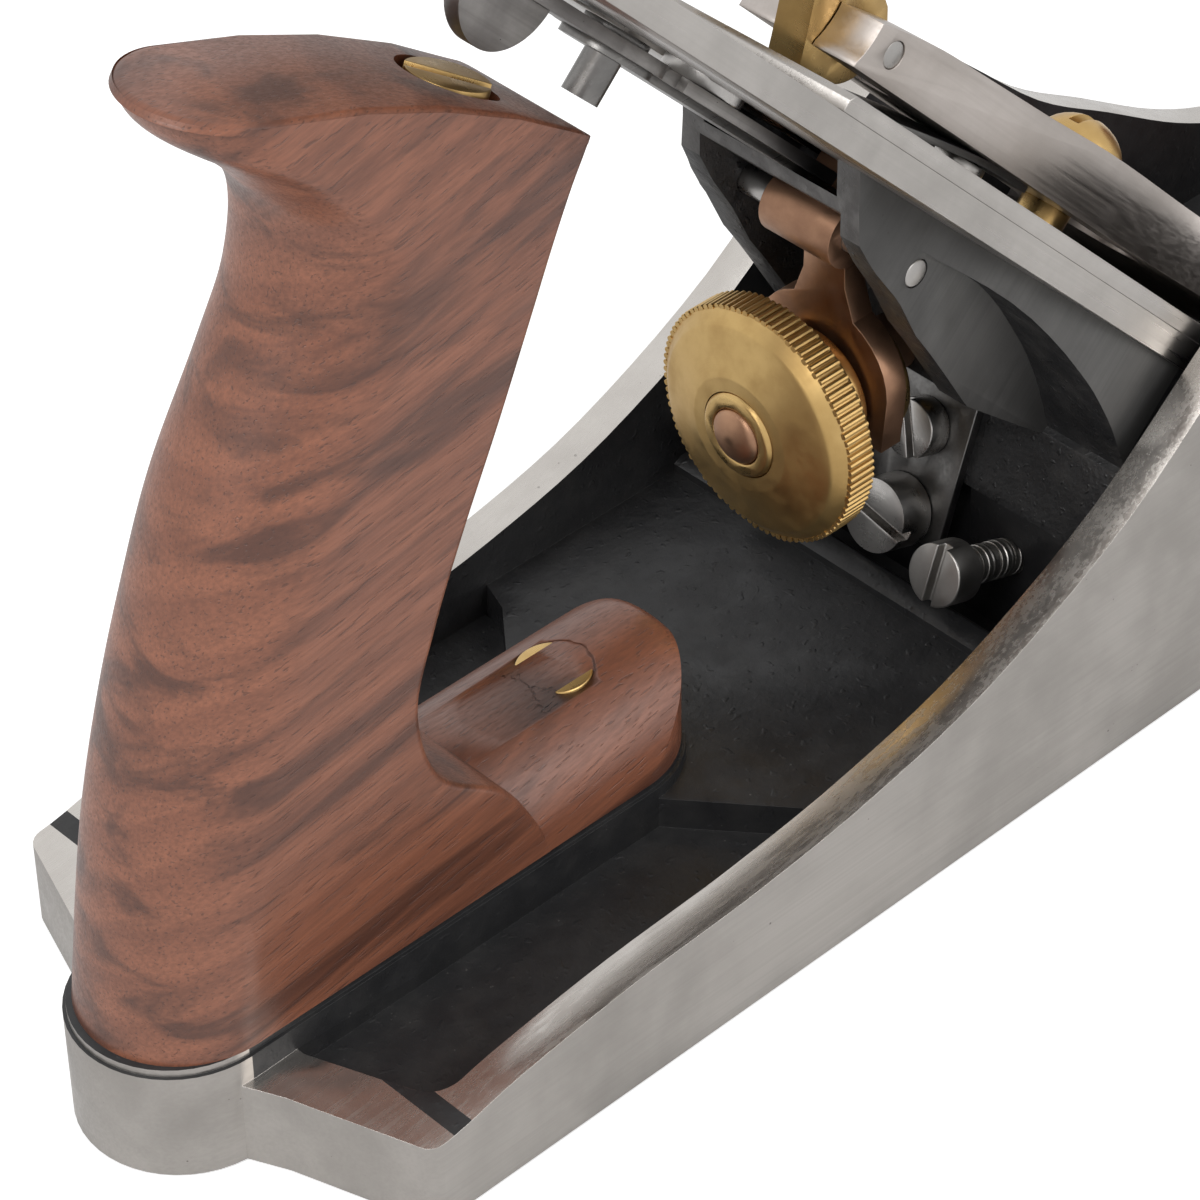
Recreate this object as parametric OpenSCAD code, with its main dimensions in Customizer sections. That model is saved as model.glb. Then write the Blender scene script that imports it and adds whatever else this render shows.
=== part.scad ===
// Bench smoothing plane, bevel-down, with a ramp-seated sliding frog.
// Frame: +X to the toe, +Y to the left of the user, +Z up, the sole lies on z = 0.
// Two slanted frames are used: the bed frame runs up the iron (s) and out of it (h),
// the ramp frame runs down the frog seat (u) and out of it (v).

/* [Sole and cheeks] */
// Overall length of the casting
body_l = 246.4; // [236:0.2:266]
// Width over the cheeks
body_w = 63; // [62:0.5:72]
// Thickness of the sole
sole_t = 5; // [4:0.25:6]
// Thickness of the cheeks
cheek_t = 4.4; // [3.6:0.1:5]
// Height of the cheeks at their crown
cheek_z = 50.5; // [44:0.5:58]
// Height of the low rim at the heel corners
heel_rim_z = 10.5; // [9.5:0.25:12]
// Height of the low rim round the toe
toe_rim_z = 11; // [9:0.25:13]
// Radius of the half-round lobe behind the heel
lobe_r = 11.5; // [10:0.25:13]
// How far the lobe reaches behind the heel corners
lobe_reach = 17.2; // [15:0.2:20]
// Floor of the pockets beside the handle
pocket_z = 8; // [6:0.25:9]
// Top of the plateau between handle and frog
plateau_z = 12; // [10:0.25:13]
// Top of the platform that carries the handle
platform_z = 14.4; // [13:0.2:17]
// Height of the collar that carries the front knob
knob_boss_z = 9; // [8:0.25:12]

/* [Mouth and frog seat] */
// From the heel corners to the line where the bed meets the sole
heel_to_bed = 156.6; // [150:0.2:162]
// Bed angle
bed_angle = 45; // [43:0.5:47]
// Slope of the frog seat
ramp_angle = 19; // [17:0.5:21]
// Length of the frog seat, level with the sole
seat_l = 53.6; // [50:0.2:56]
// Height of the seat's rear edge
seat_z = 22; // [21:0.25:23.5]
// Width of the mouth
mouth_w = 52; // [51.4:0.1:53]
// Gap ahead of the cutting edge
mouth_gap = 1.1; // [0.5:0.1:3]

/* [Iron and cap iron] */
// Width of the iron
iron_w = 50.8; // [48:0.2:51]
// Thickness of the iron
iron_t = 3.2; // [2.4:0.1:3.6]
// Length of the iron above the bed line
iron_top = 187; // [178:1:195]
// Bevel angle of the iron
bevel_angle = 28; // [24:1:33]
// How far the cutting edge stands above the sole at rest
edge_lift = 0.15; // [0:0.05:0.5]
// Width of the slot in the iron
slot_w = 11.2; // [10.8:0.1:12]
// Thickness of the cap iron
cap_iron_t = 1.9; // [1.5:0.1:2.4]
// Distance of the cap iron's lip behind the cutting edge
lip_setback = 1.5; // [0.8:0.1:3]
// Height of the hump at the front of the cap iron
hump_h = 2.1; // [1:0.1:2.4]

/* [Frog] */
// Half the width of the frog's bed
frog_hw = 25; // [22:0.25:25.5]
// Half the width over the two flanks
flank_hw = 14; // [13.5:0.25:16]
// Half the width of the hollow between the flanks
hollow_hw = 10; // [9.8:0.1:10.5]
// Thickness of the bed plate
bed_plate_t = 3.6; // [3:0.2:5]
// Where the bed surface ends and the recess for the lateral lever starts
bed_end = 132; // [128:1:136]
// Top end of the frog
frog_top = 150; // [146:1:154]
// Depth of the recess
recess_h = 3.2; // [3:0.1:4]
// Travel of the frog either way
frog_travel = 1.5; // [1:0.1:1.8]
// Sideways place of the clamp screws and draw pins
clamp_y = 13; // [12:0.25:15]
// Depth of the three screws below the seat
screw_v = 6; // [5.5:0.25:6.5]

/* [Depth adjuster] */
// Height of the wheel's axis
wheel_z = 41.4; // [40.5:0.2:42.5]
// Radius of the knurled wheel
wheel_r = 14; // [12:0.25:15.5]
// Width of the wheel's rim
wheel_w = 4.8; // [4:0.2:6]
// Rear face of the rim, behind the bed line
wheel_back = 81.2; // [79:0.2:83]
// Radius of the fixed stud
stud_r = 3.2; // [2.8:0.1:3.6]
// Outer radius of the sleeve
sleeve_r = 5; // [4.6:0.1:5.2]
// Radius of the sleeve's two collars
collar_r = 8; // [7:0.25:9]
// Height of the yoke's pivot
pivot_s = 95.8; // [94:0.2:98]
// Depth of the yoke's pivot below the bed
pivot_h = 5.75; // [5.4:0.05:6.2]
// Thickness of the yoke's arms
yoke_t = 3; // [2.4:0.1:3.4]

/* [Lever cap] */
// Half the width of the lever cap at its front
cap_front_hw = 25; // [22:0.25:25.4]
// Half the width of the lever cap's neck
neck_hw = 8.6; // [8.2:0.1:10]
// Height of the neck's underside over the bed
neck_h = 8.5; // [8.3:0.1:9.2]
// Rear end of the ears
ear_end = 115.3; // [113:0.5:118]
// Place of the cam pin up the slope
cam_pin_s = 110.3; // [109:0.2:111]
// Height of the cam pin over the bed
cam_pin_h = 11.7; // [11.4:0.1:12]
// Radius of the cam pin
cam_pin_r = 1.5; // [1.2:0.1:1.8]
// Thickness of the cam lever
cam_t = 4.4; // [3.6:0.2:5.2]
// Place of the lever cap screw up the slope
cap_screw_s = 58.4; // [57:0.2:60]
// Radius of the lever cap screw's domed head
cap_screw_r = 5.3; // [4.8:0.1:5.4]
// Travel of the lever cap up to its keyhole
cap_travel = 12; // [11.5:0.25:13]

/* [Lateral lever] */
// Place of its pivot up the slope
lateral_s = 141; // [139:0.5:143]
// Length of its short arm, pivot to roller
lateral_arm = 16; // [14:0.5:17]
// Radius of the roller
roller_r = 4.6; // [4:0.1:4.6]

/* [Handle] */
// Thickness of the handle
tote_t = 22.6; // [20:0.2:24]
// Height of the handle's top at its front corner
tote_z = 97; // [94:1:101]
// Lean of the handle
tote_lean = 23.7; // [21:0.1:25]
// Radius of the handle's rod
rod_r = 2.75; // [2.4:0.05:3]

/* [Knob] */
// Distance of the knob's axis behind the toe
knob_back = 41.7; // [39:0.1:46]
// Height of the knob above its collar
knob_l = 60; // [54:1:66]
// Radius of the knob's ball
knob_r = 18.5; // [16:0.5:21]

/* [Fits] */
// Radial clearance of a running fit
run_gap = 0.05; // [0.03:0.01:0.08]
// Gap between flat faces that slide on each other
slide_gap = 0.01; // [0.01:0.01:0.03]
// Gap between faces that pass each other
free_gap = 0.3; // [0.2:0.05:0.5]

/* [Hidden] */
$fn = 64;

heel_x = -body_l / 2 + lobe_reach;
toe_x = body_l / 2;
bed_x = heel_x + heel_to_bed;
seat_x = bed_x - seat_l;
knob_x = toe_x - knob_back;
half_w = body_w / 2;
inner_hw = half_w - cheek_t;
over = 1;

// Points and frames

function lerp(a, b, t) = a + (b - a) * t;
function spline_pt(k, i, t) =
    let(a = k[max(i - 1, 0)], b = k[i], c = k[i + 1], d = k[min(i + 2, len(k) - 1)])
    0.5 * (2 * b + (c - a) * t + (2 * a - 5 * b + 4 * c - d) * t * t + (3 * b - a - 3 * c + d) * t * t * t);
// A smooth curve through the knots k, with n steps from one knot to the next
function spline(k, n) = concat([for (i = [0:len(k) - 2]) for (j = [0:n - 1]) spline_pt(k, i, j / n)], [k[len(k) - 1]]);
// The point at the share t of a curve through the knots k
function along(k, t) = let(m = len(k) - 1, i = min(floor(t * m), m - 1)) spline_pt(k, i, t * m - i);
function arc(c, r, a0, a1, n) = [for (i = [0:n]) let(a = lerp(a0, a1, i / n)) c + r * [cos(a), sin(a)]];
function flip(p) = [for (i = [len(p) - 1:-1:0]) [p[i][0], -p[i][1]]];
// The closed outline p, counter-clockwise, moved inwards by d
function shrunk(p, d) = let(n = len(p)) [for (i = [0:n - 1])
    let(t = p[(i + 1) % n] - p[(i + n - 1) % n]) p[i] + d * [-t[1], t[0]] / norm(t)];

// Side-view point of the bed frame
function bed_pt(s, h) = [bed_x - s * cos(bed_angle) + h * sin(bed_angle), s * sin(bed_angle) + h * cos(bed_angle)];
// Side-view point of the ramp frame
function ramp_pt(u, v) = [seat_x + u * cos(ramp_angle) + v * sin(ramp_angle),
                          seat_z - u * sin(ramp_angle) + v * cos(ramp_angle)];
// Side-view point, measured from the heel corners
function heel_pt(d, z) = [heel_x + d, z];
// Where the seat meets the bed plane, up the slope
seat_s = (seat_z - seat_l * tan(ramp_angle)) * cos(ramp_angle) / sin(bed_angle - ramp_angle);

module on_bed() translate([bed_x, 0, 0]) rotate([0, bed_angle, 0]) rotate([0, 0, 180]) children();
module on_ramp() translate([seat_x, 0, seat_z]) rotate([0, ramp_angle, 0]) children();
// A side-view shape made w wide, middle on y = 0
module slab(w) rotate([90, 0, 0]) translate([0, 0, -w / 2]) linear_extrude(w) children();
// A round bar along local X from x0 to x1
module bar_x(x0, x1, r) translate([x0, 0, 0]) rotate([0, 90, 0]) cylinder(h = x1 - x0, r = r);
// A round bar along local Y, middle on y = 0
module bar_y(w, r) rotate([90, 0, 0]) translate([0, 0, -w / 2]) cylinder(h = w, r = r);
// A screwdriver slot for a head whose top lies on local z = 0
module drive_slot(r, w, depth) translate([-r - over, -w / 2, -depth]) cube([2 * (r + over), w, depth + over]);

// Body casting

heel_shoulder = 7.4;
toe_corner = 24;
toe_knots = [[toe_x - toe_corner, half_w], [toe_x - 11, half_w - 2.6], [toe_x - 3.2, half_w * 0.55], [toe_x, 0]];
toe_half = [for (i = [1:24]) along([[toe_x - toe_corner - 13, half_w], each toe_knots,
                                    [toe_x - 3.2, -half_w * 0.55]], lerp(0.2, 0.8, i / 24))];
lobe_x = heel_x + lobe_r - lobe_reach;
heel_half = concat([[lobe_x - 1.7, 0], [lobe_x - 1.7, lobe_r - 0.4], [heel_x - heel_shoulder + 2.2, lobe_r + 4.2]],
                   arc([heel_x + 1.6, half_w - 2], 2, 165, 90, 5));
plan_half = concat(heel_half, toe_half);
body_plan = concat([for (p = plan_half) [p[0], -p[1]]], [for (i = [len(plan_half) - 2:-1:1]) plan_half[i]]);

cheek_knots = [heel_pt(-lobe_reach - 4, heel_rim_z), heel_pt(0, heel_rim_z), heel_pt(12, 12.8), heel_pt(28, 14.75),
               heel_pt(45, 15.7), heel_pt(62, 17.9), heel_pt(80, 22.6), heel_pt(100, cheek_z - 17.9),
               heel_pt(118, cheek_z - 3.6), heel_pt(127, cheek_z), heel_pt(135, cheek_z - 3),
               heel_pt(150.8, 34.3), heel_pt(163.9, 26.4), heel_pt(177.5, 18.4), heel_pt(189, 13.6),
               heel_pt(202, toe_rim_z), [toe_x + 4, toe_rim_z]];

plateau_end = seat_x - 8.4;
pocket_front = heel_x + 57;

// The outline of the room inside the cheeks, d within the outer one
inner_heel_r = 4;
function inner_plan(d) =
    let(toe = [for (p = shrunk(body_plan, d)) if (p[0] > 0) p],
        side = concat(arc([heel_x + d + inner_heel_r - 0.4, half_w - d - inner_heel_r], inner_heel_r, 90, 160, 6),
                      [[heel_x + d - 4.4, lobe_r + 1]]))
    concat(toe, side, flip(side));

module body_outline() {
    polygon(body_plan);
    translate([lobe_x, 0]) circle(lobe_r);
}

module body_shell() difference() {
    intersection() {
        linear_extrude(cheek_z + 10) body_outline();
        slab(body_w + 2) polygon(concat([[-body_l, 0]], spline(cheek_knots, 5), [[body_l, 0]]));
    }
    translate([0, 0, sole_t]) linear_extrude(cheek_z + 10) polygon(inner_plan(cheek_t));
}

// The platform that carries the handle: a straight bar with half-round ends
platform_end = heel_x + 49.6;
module platform_plan(r) {
    translate([lobe_x, 0]) circle(r);
    translate([platform_end, 0]) circle(r);
    translate([lobe_x, -r]) square([platform_end - lobe_x, 2 * r]);
}

// Everything that rises from the sole between the cheeks
module body_floor() intersection() {
    linear_extrude(cheek_z) polygon(inner_plan(cheek_t - 0.5));
    union() {
        translate([heel_x - lobe_reach, -half_w, 0]) cube([pocket_front - heel_x + lobe_reach + 4, body_w, pocket_z]);
        linear_extrude(plateau_z) polygon([[heel_x + 50, -11], [heel_x + 60, -23], [heel_x + 63, -half_w],
            [plateau_end, -half_w], [plateau_end, half_w], [heel_x + 63, half_w], [heel_x + 60, 23], [heel_x + 50, 11]]);
        slab(body_w) polygon([[plateau_end - 4, 0], [plateau_end - 4, plateau_z + 1], [plateau_end - 3, plateau_z + 1.6],
            [plateau_end - 1.2, plateau_z + 1.6], [plateau_end, plateau_z + 0.6], [plateau_end, 0]]);
        slab(body_w) polygon([[seat_x, 0], ramp_pt(0, 0), ramp_pt(seat_l / cos(ramp_angle), 0), [bed_x, 0]]);
        slab(body_w) polygon([[bed_x + 4, 0], [bed_x + 8, sole_t + 3], [bed_x + 14, sole_t + 3], [bed_x + 18, sole_t], [bed_x + 18, 0]]);
    }
}

tote_rod_foot = heel_pt(-4.3, 15);
module along_tote_rod() translate([tote_rod_foot[0], 0, tote_rod_foot[1]]) rotate([0, tote_lean, 0]) children();
rod_sink = 10.5;
toe_screw_x = heel_x + 46.4;
toe_screw_r = 2.1;
draw_pin_u = 20;
draw_pin_r = 3.5;
draw_pin_v = 9.3;
clamp_thread_r = 2.1;
adjust_thread_r = 2.6;
adjust_bay = frog_travel + 2;
adjust_bay_hw = 7;
mouth_front = bed_x + (iron_t + sqrt(2) * edge_lift) * 2 * sin(bed_angle) + mouth_gap;

// The mouth's rear wall lies as far under the bed as the iron comes down when the frog is drawn back
mouth_back_h = frog_travel * sin(bed_angle - ramp_angle) + 0.1;
mouth_back_s = seat_s + mouth_back_h / tan(bed_angle - ramp_angle) + 0.05;

module mouth_cut() slab(mouth_w) polygon([bed_pt(mouth_back_h - over / sin(bed_angle), -mouth_back_h),
    [mouth_front, -over], [mouth_front, 1.2], [mouth_front + 5, sole_t + 4], bed_pt(mouth_back_s + 1.2, 2),
    bed_pt(mouth_back_s, -mouth_back_h)]);

module body() color("DarkSlateGray") difference() {
    union() {
        body_shell();
        body_floor();
        linear_extrude(platform_z - 0.9) platform_plan(lobe_r);
        linear_extrude(platform_z) platform_plan(lobe_r - 0.4);
        translate([knob_x, 0, 0]) cylinder(h = knob_boss_z, r = knob_r - 3.5);
        translate([knob_x, 0, 0]) cylinder(h = sole_t + 1, r = knob_r);
    }
    mouth_cut();
    along_tote_rod() translate([0, 0, -rod_sink - free_gap]) cylinder(h = 3 * rod_sink, r = rod_r + run_gap);
    translate([toe_screw_x, 0, platform_z - 9]) cylinder(h = 20, r = toe_screw_r + run_gap);
    translate([knob_x, 0, 2.5]) cylinder(h = 20, r = rod_r + run_gap);
    for (y = [-clamp_y, clamp_y]) {
        on_ramp() translate([0, y, -screw_v]) bar_x(-over, draw_pin_u, clamp_thread_r + run_gap);
        on_ramp() translate([draw_pin_u, y, -draw_pin_v - free_gap]) cylinder(h = draw_pin_v + 2, r = draw_pin_r + frog_travel + free_gap);
    }
    on_ramp() translate([0, 0, -screw_v]) bar_x(-over, 24, adjust_thread_r + run_gap);
    on_ramp() translate([-3, -adjust_bay_hw, -screw_v - 5]) cube([adjust_bay + 3, 2 * adjust_bay_hw, screw_v + 8]);
}

// Handle

tote_hw = tote_t / 2;
tote_base = platform_z;
rear_knots = [heel_pt(-15.95, tote_base - 0.001), heel_pt(-14.3, 26), heel_pt(-12.2, 38), heel_pt(-9, 50),
              heel_pt(-5.3, 61), heel_pt(-0.5, 73), heel_pt(6.4, 85), heel_pt(10.3, 93),
              heel_pt(11.1, tote_z + 5), heel_pt(6.4, tote_z + 11.8), heel_pt(0.4, tote_z + 17.4),
              heel_pt(-1.1, tote_z + 21.3)];
front_knots = [heel_pt(35.9, tote_base - 0.001), heel_pt(29.9, 25.5), heel_pt(21.2, 33), heel_pt(18.5, 43),
               heel_pt(21.1, 52), heel_pt(25.5, 62), heel_pt(30.4, 72), heel_pt(35.2, 82), heel_pt(38.3, 88),
               heel_pt(41.3, 93), heel_pt(43.4, tote_z - 1.4), heel_pt(45, tote_z)];
width_knots = [1, 1, 1, 1, 0.99, 0.98, 0.97, 0.95, 0.92, 0.88, 0.84, 0.79];
tote_rings = 34;
ring_steps = 28;

// One rounded section of the handle: a half-round back and a front with small corners.
// q is the share of the way round, w half the thickness, l the depth from back to front.
function section_pt(q, w, l) =
    let(a = 360 * q, back = min(w, l * 0.48), c = cos(a), s = sin(a), e = c < 0 ? 1 : 0.62, m = l - back)
    [back - (c < 0 ? back : m) * -sign(c) * pow(abs(c), e), w * sign(s) * pow(abs(s), c < 0 ? 1 : 0.62)];
function tote_ring(t) =
    let(r = along(rear_knots, t), f = along(front_knots, t), w = tote_hw * along([for (k = width_knots) [k, 0]], t)[0],
        l = norm(f - r), d = (f - r) / l)
    [for (i = [0:ring_steps - 1]) let(p = section_pt(i / ring_steps, w, l)) [r[0] + d[0] * p[0], p[1], r[1] + d[1] * p[0]]];
tote_points = [for (k = [0:tote_rings]) each tote_ring(k / tote_rings)];
function ring_id(k, i) = k * ring_steps + i % ring_steps;
tote_faces = concat(
    [[for (i = [0:ring_steps - 1]) i]],
    [for (k = [0:tote_rings - 1]) for (i = [0:ring_steps - 1]) each
        [[ring_id(k, i), ring_id(k + 1, i), ring_id(k + 1, i + 1)], [ring_id(k, i), ring_id(k + 1, i + 1), ring_id(k, i + 1)]]],
    [[for (i = [ring_steps - 1:-1:0]) ring_id(tote_rings, i)]]);

toe_top_z = 26;
// The toe is a shade slimmer than the handle's flat sides
toe_r = tote_hw - 0.05;
toe_axis_z = toe_top_z - toe_r;
toe_end = heel_x + 60.5;
tote_nut_r = 4.25;
tote_nut_well_r = 5.25;
tote_nut_l = 24;
// Distance up the rod's axis from its foot to the top of the handle
tote_rod_l = (tote_z + 7.4 - tote_rod_foot[1]) / cos(tote_lean);

// The handle's toe: a half-round bar along the casting with a rounded front end
module tote_toe() intersection() {
    translate([0, 0, toe_axis_z]) bar_x(heel_x + 8, toe_end + 1, toe_r);
    translate([0, 0, tote_base]) linear_extrude(20) {
        translate([heel_x + 8, -toe_r]) square([toe_end - toe_r - heel_x - 8, 2 * toe_r]);
        translate([toe_end - toe_r, 0]) circle(toe_r);
    }
}

module tote() color("SaddleBrown") difference() {
    union() {
        polyhedron(points = tote_points, faces = tote_faces, convexity = 6);
        tote_toe();
    }
    translate([heel_x - 60, -30, -10]) cube([150, 60, 10 + tote_base]);
    along_tote_rod() translate([0, 0, -10]) cylinder(h = tote_rod_l, r = rod_r + free_gap);
    along_tote_rod() translate([0, 0, tote_rod_l - tote_nut_l - free_gap]) cylinder(h = tote_nut_l + 20, r = tote_nut_well_r);
    translate([toe_screw_x, 0, 0]) cylinder(h = 60, r = toe_screw_r + free_gap);
    translate([toe_screw_x, 0, toe_top_z - 3]) cylinder(h = 20, r = 4.15 + run_gap);
}

module tote_rod() color("LightSlateGray") along_tote_rod()
    translate([0, 0, -rod_sink]) cylinder(h = rod_sink + tote_rod_l - 6, r = rod_r);

module tote_nut() color("Goldenrod") along_tote_rod() difference() {
    translate([0, 0, tote_rod_l - tote_nut_l]) cylinder(h = tote_nut_l, r = tote_nut_r);
    translate([0, 0, tote_rod_l - tote_nut_l - over]) cylinder(h = tote_nut_l - 5 + over, r = rod_r + run_gap);
    translate([0, 0, tote_rod_l]) rotate([0, 0, -45]) drive_slot(tote_nut_r, 1.4, 2);
}

module tote_toe_screw() color("Goldenrod") translate([toe_screw_x, 0, 0]) difference() {
    union() {
        translate([0, 0, toe_top_z - 3]) cylinder(h = 2.6, r = 4.15);
        translate([0, 0, platform_z - 8]) cylinder(h = toe_top_z - 3 - platform_z + 8.5, r = toe_screw_r);
    }
    translate([0, 0, toe_top_z - 0.4]) drive_slot(4.15, 1.1, 1.3);
}

// Front knob

knob_top = knob_boss_z + knob_l;
knob_knots = [[knob_r - 2.6, 0], [knob_r - 2.2, 2], [knob_r - 5, 5.5], [knob_r - 7.6, 11], [knob_r - 7.8, 18], [knob_r - 5.4, 26],
              [knob_r - 1.6, 34], [knob_r, knob_l * 0.7], [knob_r - 2.4, knob_l * 0.84], [knob_r - 8, knob_l * 0.96], [knob_r - 12.5, knob_l]];

module knob() color("SaddleBrown") translate([knob_x, 0, knob_boss_z]) difference() {
    rotate_extrude() polygon(concat([[0, 0]], spline(knob_knots, 5), [[0, knob_l]]));
    translate([0, 0, -over]) cylinder(h = knob_l, r = rod_r + free_gap);
    translate([0, 0, knob_l - 16]) cylinder(h = 30, r = tote_nut_r + free_gap);
    translate([0, 0, knob_l - 3]) cylinder(h = 30, r = 6.1 + free_gap);
}

module knob_rod() color("LightSlateGray") translate([knob_x, 0, 2.8]) cylinder(h = knob_top - 2.8 - 6, r = rod_r);

module knob_nut() color("Goldenrod") translate([knob_x, 0, knob_top]) difference() {
    union() {
        translate([0, 0, -3 + free_gap]) cylinder(h = 2.4, r = 6.1);
        translate([0, 0, -15]) cylinder(h = 13, r = tote_nut_r);
    }
    translate([0, 0, -15 - over]) cylinder(h = 10.5 + over, r = rod_r + run_gap);
    translate([0, 0, -3 + free_gap + 2.4]) drive_slot(6.1, 1.4, 1.5);
}

// Frog

flank_knots = [bed_pt(74.2, -14.9), bed_pt(89.5, -11.3), bed_pt(100, -10.3), bed_pt(108, -9.9), bed_pt(116.5, -7.6), bed_pt(126, -6.6)];
plate_knots = [bed_pt(57.7, -12.4), bed_pt(65.2, -8.5), bed_pt(73.5, -5.6), bed_pt(84.8, -bed_plate_t + 0.3), bed_pt(100, -bed_plate_t), bed_pt(bed_end, -bed_plate_t)];
foot_u = -0.2;
frog_toe_s = seat_s + 2;
clip_v = 4.5;
clip_t = 1.3;
adjust_neck_r = 2.3;
yoke_slot_hw = 4;
stud_front = 50;
head_groove_hw = 8.6;
head_groove_h = 4.6;

// The full-width wedge between seat and bed, and the plate above it
module frog_wedge() slab(2 * frog_hw) polygon(concat(
    [bed_pt(frog_toe_s, 0), ramp_pt((frog_toe_s - seat_s) * -cos(bed_angle - ramp_angle) + seat_u, slide_gap),
     ramp_pt(foot_u, slide_gap), ramp_pt(foot_u, 10.3)],
    spline(plate_knots, 4), [bed_pt(bed_end, 0)]));
// Where the bed plane meets the seat, down the ramp
seat_u = (seat_l - seat_s * cos(bed_angle)) / cos(ramp_angle);

module frog_flanks() slab(2 * flank_hw) polygon(concat(
    [bed_pt(40, -1), ramp_pt(foot_u, 6), ramp_pt(foot_u, 10)], spline(flank_knots, 4), [bed_pt(126, -1)]));

// The narrower top end, one recess deep, where the lateral lever lies
module frog_head() on_bed() translate([0, 0, -recess_h - 4.6]) linear_extrude(4.6)
    polygon(let(w = frog_hw, t = frog_top, half = concat([[bed_end - 12, w - 0.4], [bed_end + 1, w - 0.4], [t - 9, w - 3]],
        arc([t - 6, w - 12.5], 6, 60, 0, 6))) concat(flip(half), half));

module frog() color("DimGray") difference() {
    union() {
        frog_wedge();
        frog_flanks();
        frog_head();
    }
    // hollow between the flanks, in front of the depth wheel
    slab(2 * hollow_hw) polygon([bed_pt(120, -4.4), bed_pt(94, -4.4), [bed_x - 59.5, wheel_z + 11.2], [bed_x - 59.5, wheel_z - 10],
        [bed_x - 75, wheel_z - 10], [bed_x - 100, wheel_z + 40], bed_pt(120, -14)]);
    // slot for the yoke's nose, groove for the cap iron screw
    on_bed() translate([pivot_s - 5.8, -yoke_slot_hw, -8]) cube([11.6, 2 * yoke_slot_hw, 10]);
    on_bed() translate([cap_iron_screw_s, 0, -head_groove_h]) cylinder(h = 10, r = head_groove_hw);
    on_bed() translate([cap_iron_screw_s, -head_groove_hw, -head_groove_h]) cube([5, 2 * head_groove_hw, 10]);
    on_bed() translate([cap_iron_screw_s - 5, -head_groove_hw, -head_groove_h]) cube([5, 2 * head_groove_hw, 10]);
    on_bed() translate([cap_screw_s, 0, -14]) cylinder(h = 20, r = cap_shank_r + run_gap);
    // room for the lateral lever's short arm, its pivot's hole
    on_bed() translate([lateral_s - lateral_arm - roller_r - 2.4, -roller_r - 3, -recess_h]) cube([40, 2 * roller_r + 6, 10]);
    on_bed() translate([lateral_s, 0, -20]) cylinder(h = 30, r = lateral_pin_r + run_gap);
    // scalloped notches in the edges of the recess
    for (y = [-1, 1]) on_bed() translate([bed_end + 4.6, y * frog_hw, -recess_h - 1.6]) cylinder(h = 10, r = 4);
    // stud, yoke pin, draw pins and clip screw
    translate([bed_x - 62, 0, wheel_z]) bar_x(0, 62 - stud_front + free_gap, stud_r + run_gap);
    translate([pivot_pt[0], 0, pivot_pt[1]]) bar_y(4 * flank_hw, yoke_pin_r + run_gap);
    translate([pivot_pt[0], 0, pivot_pt[1]]) bar_y(2 * hollow_hw, yoke_hub_r + free_gap);
    for (y = [-clamp_y, clamp_y]) on_ramp() translate([draw_pin_u, y, -over]) cylinder(h = 12 + over, r = draw_pin_r + run_gap);
    on_ramp() translate([0, 0, clip_v]) bar_x(-over, 9, 2 + run_gap);
}

pivot_pt = bed_pt(pivot_s, -pivot_h);
yoke_pin_r = 1.6;
yoke_hub_r = 3.6;
cap_shank_r = 3;
lateral_pin_r = 2;

module frog_draw_pin(y) color("LightSlateGray") difference() {
    on_ramp() translate([draw_pin_u, y, -draw_pin_v]) cylinder(h = draw_pin_v + 11.6, r = draw_pin_r);
    on_ramp() translate([draw_pin_u, y, -screw_v]) bar_x(-draw_pin_r - over, -0.5, clamp_thread_r + free_gap);
}
module frog_draw_pin_left() frog_draw_pin(clamp_y);
module frog_draw_pin_right() frog_draw_pin(-clamp_y);

clamp_head_r = 3.6;
clamp_head_u = -11;
module frog_clamp_screw(y) color("LightSlateGray") on_ramp() translate([0, y, -screw_v]) difference() {
    union() {
        bar_x(clamp_head_u, clamp_head_u + 4, clamp_head_r);
        bar_x(clamp_head_u + 3, draw_pin_u - draw_pin_r - 1, clamp_thread_r);
        bar_x(draw_pin_u - draw_pin_r - 2, draw_pin_u - draw_pin_r + 0.7, clamp_thread_r - 0.7);
    }
    translate([clamp_head_u, 0, 0]) rotate([0, -90, 0]) drive_slot(clamp_head_r, 1.1, 1.3);
}
module frog_clamp_screw_left() frog_clamp_screw(clamp_y);
module frog_clamp_screw_right() frog_clamp_screw(-clamp_y);

clip_hw = 6;
module frog_clip() color("LightSlateGray") on_ramp() difference() {
    translate([foot_u - clip_t, -clip_hw, -screw_v - 2.6]) cube([clip_t, 2 * clip_hw, screw_v + 2.6 + 9.4]);
    translate([0, 0, -screw_v]) bar_x(foot_u - clip_t - over, over, adjust_neck_r + 0.15);
    translate([foot_u - clip_t - over, -adjust_neck_r - 0.15, -screw_v - 6]) cube([clip_t + 2 * over, 2 * adjust_neck_r + 0.3, 6]);
    translate([0, 0, clip_v]) bar_x(foot_u - clip_t - over, over, 2 + run_gap);
}

module frog_clip_screw() color("LightSlateGray") on_ramp() translate([foot_u - clip_t, 0, clip_v]) difference() {
    union() {
        bar_x(-3.2, 0, 3.4);
        bar_x(-1, 8, 2);
    }
    translate([-3.2, 0, 0]) rotate([0, -90, 0]) rotate([0, 0, 25]) drive_slot(3.4, 1, 1.2);
}

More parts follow.
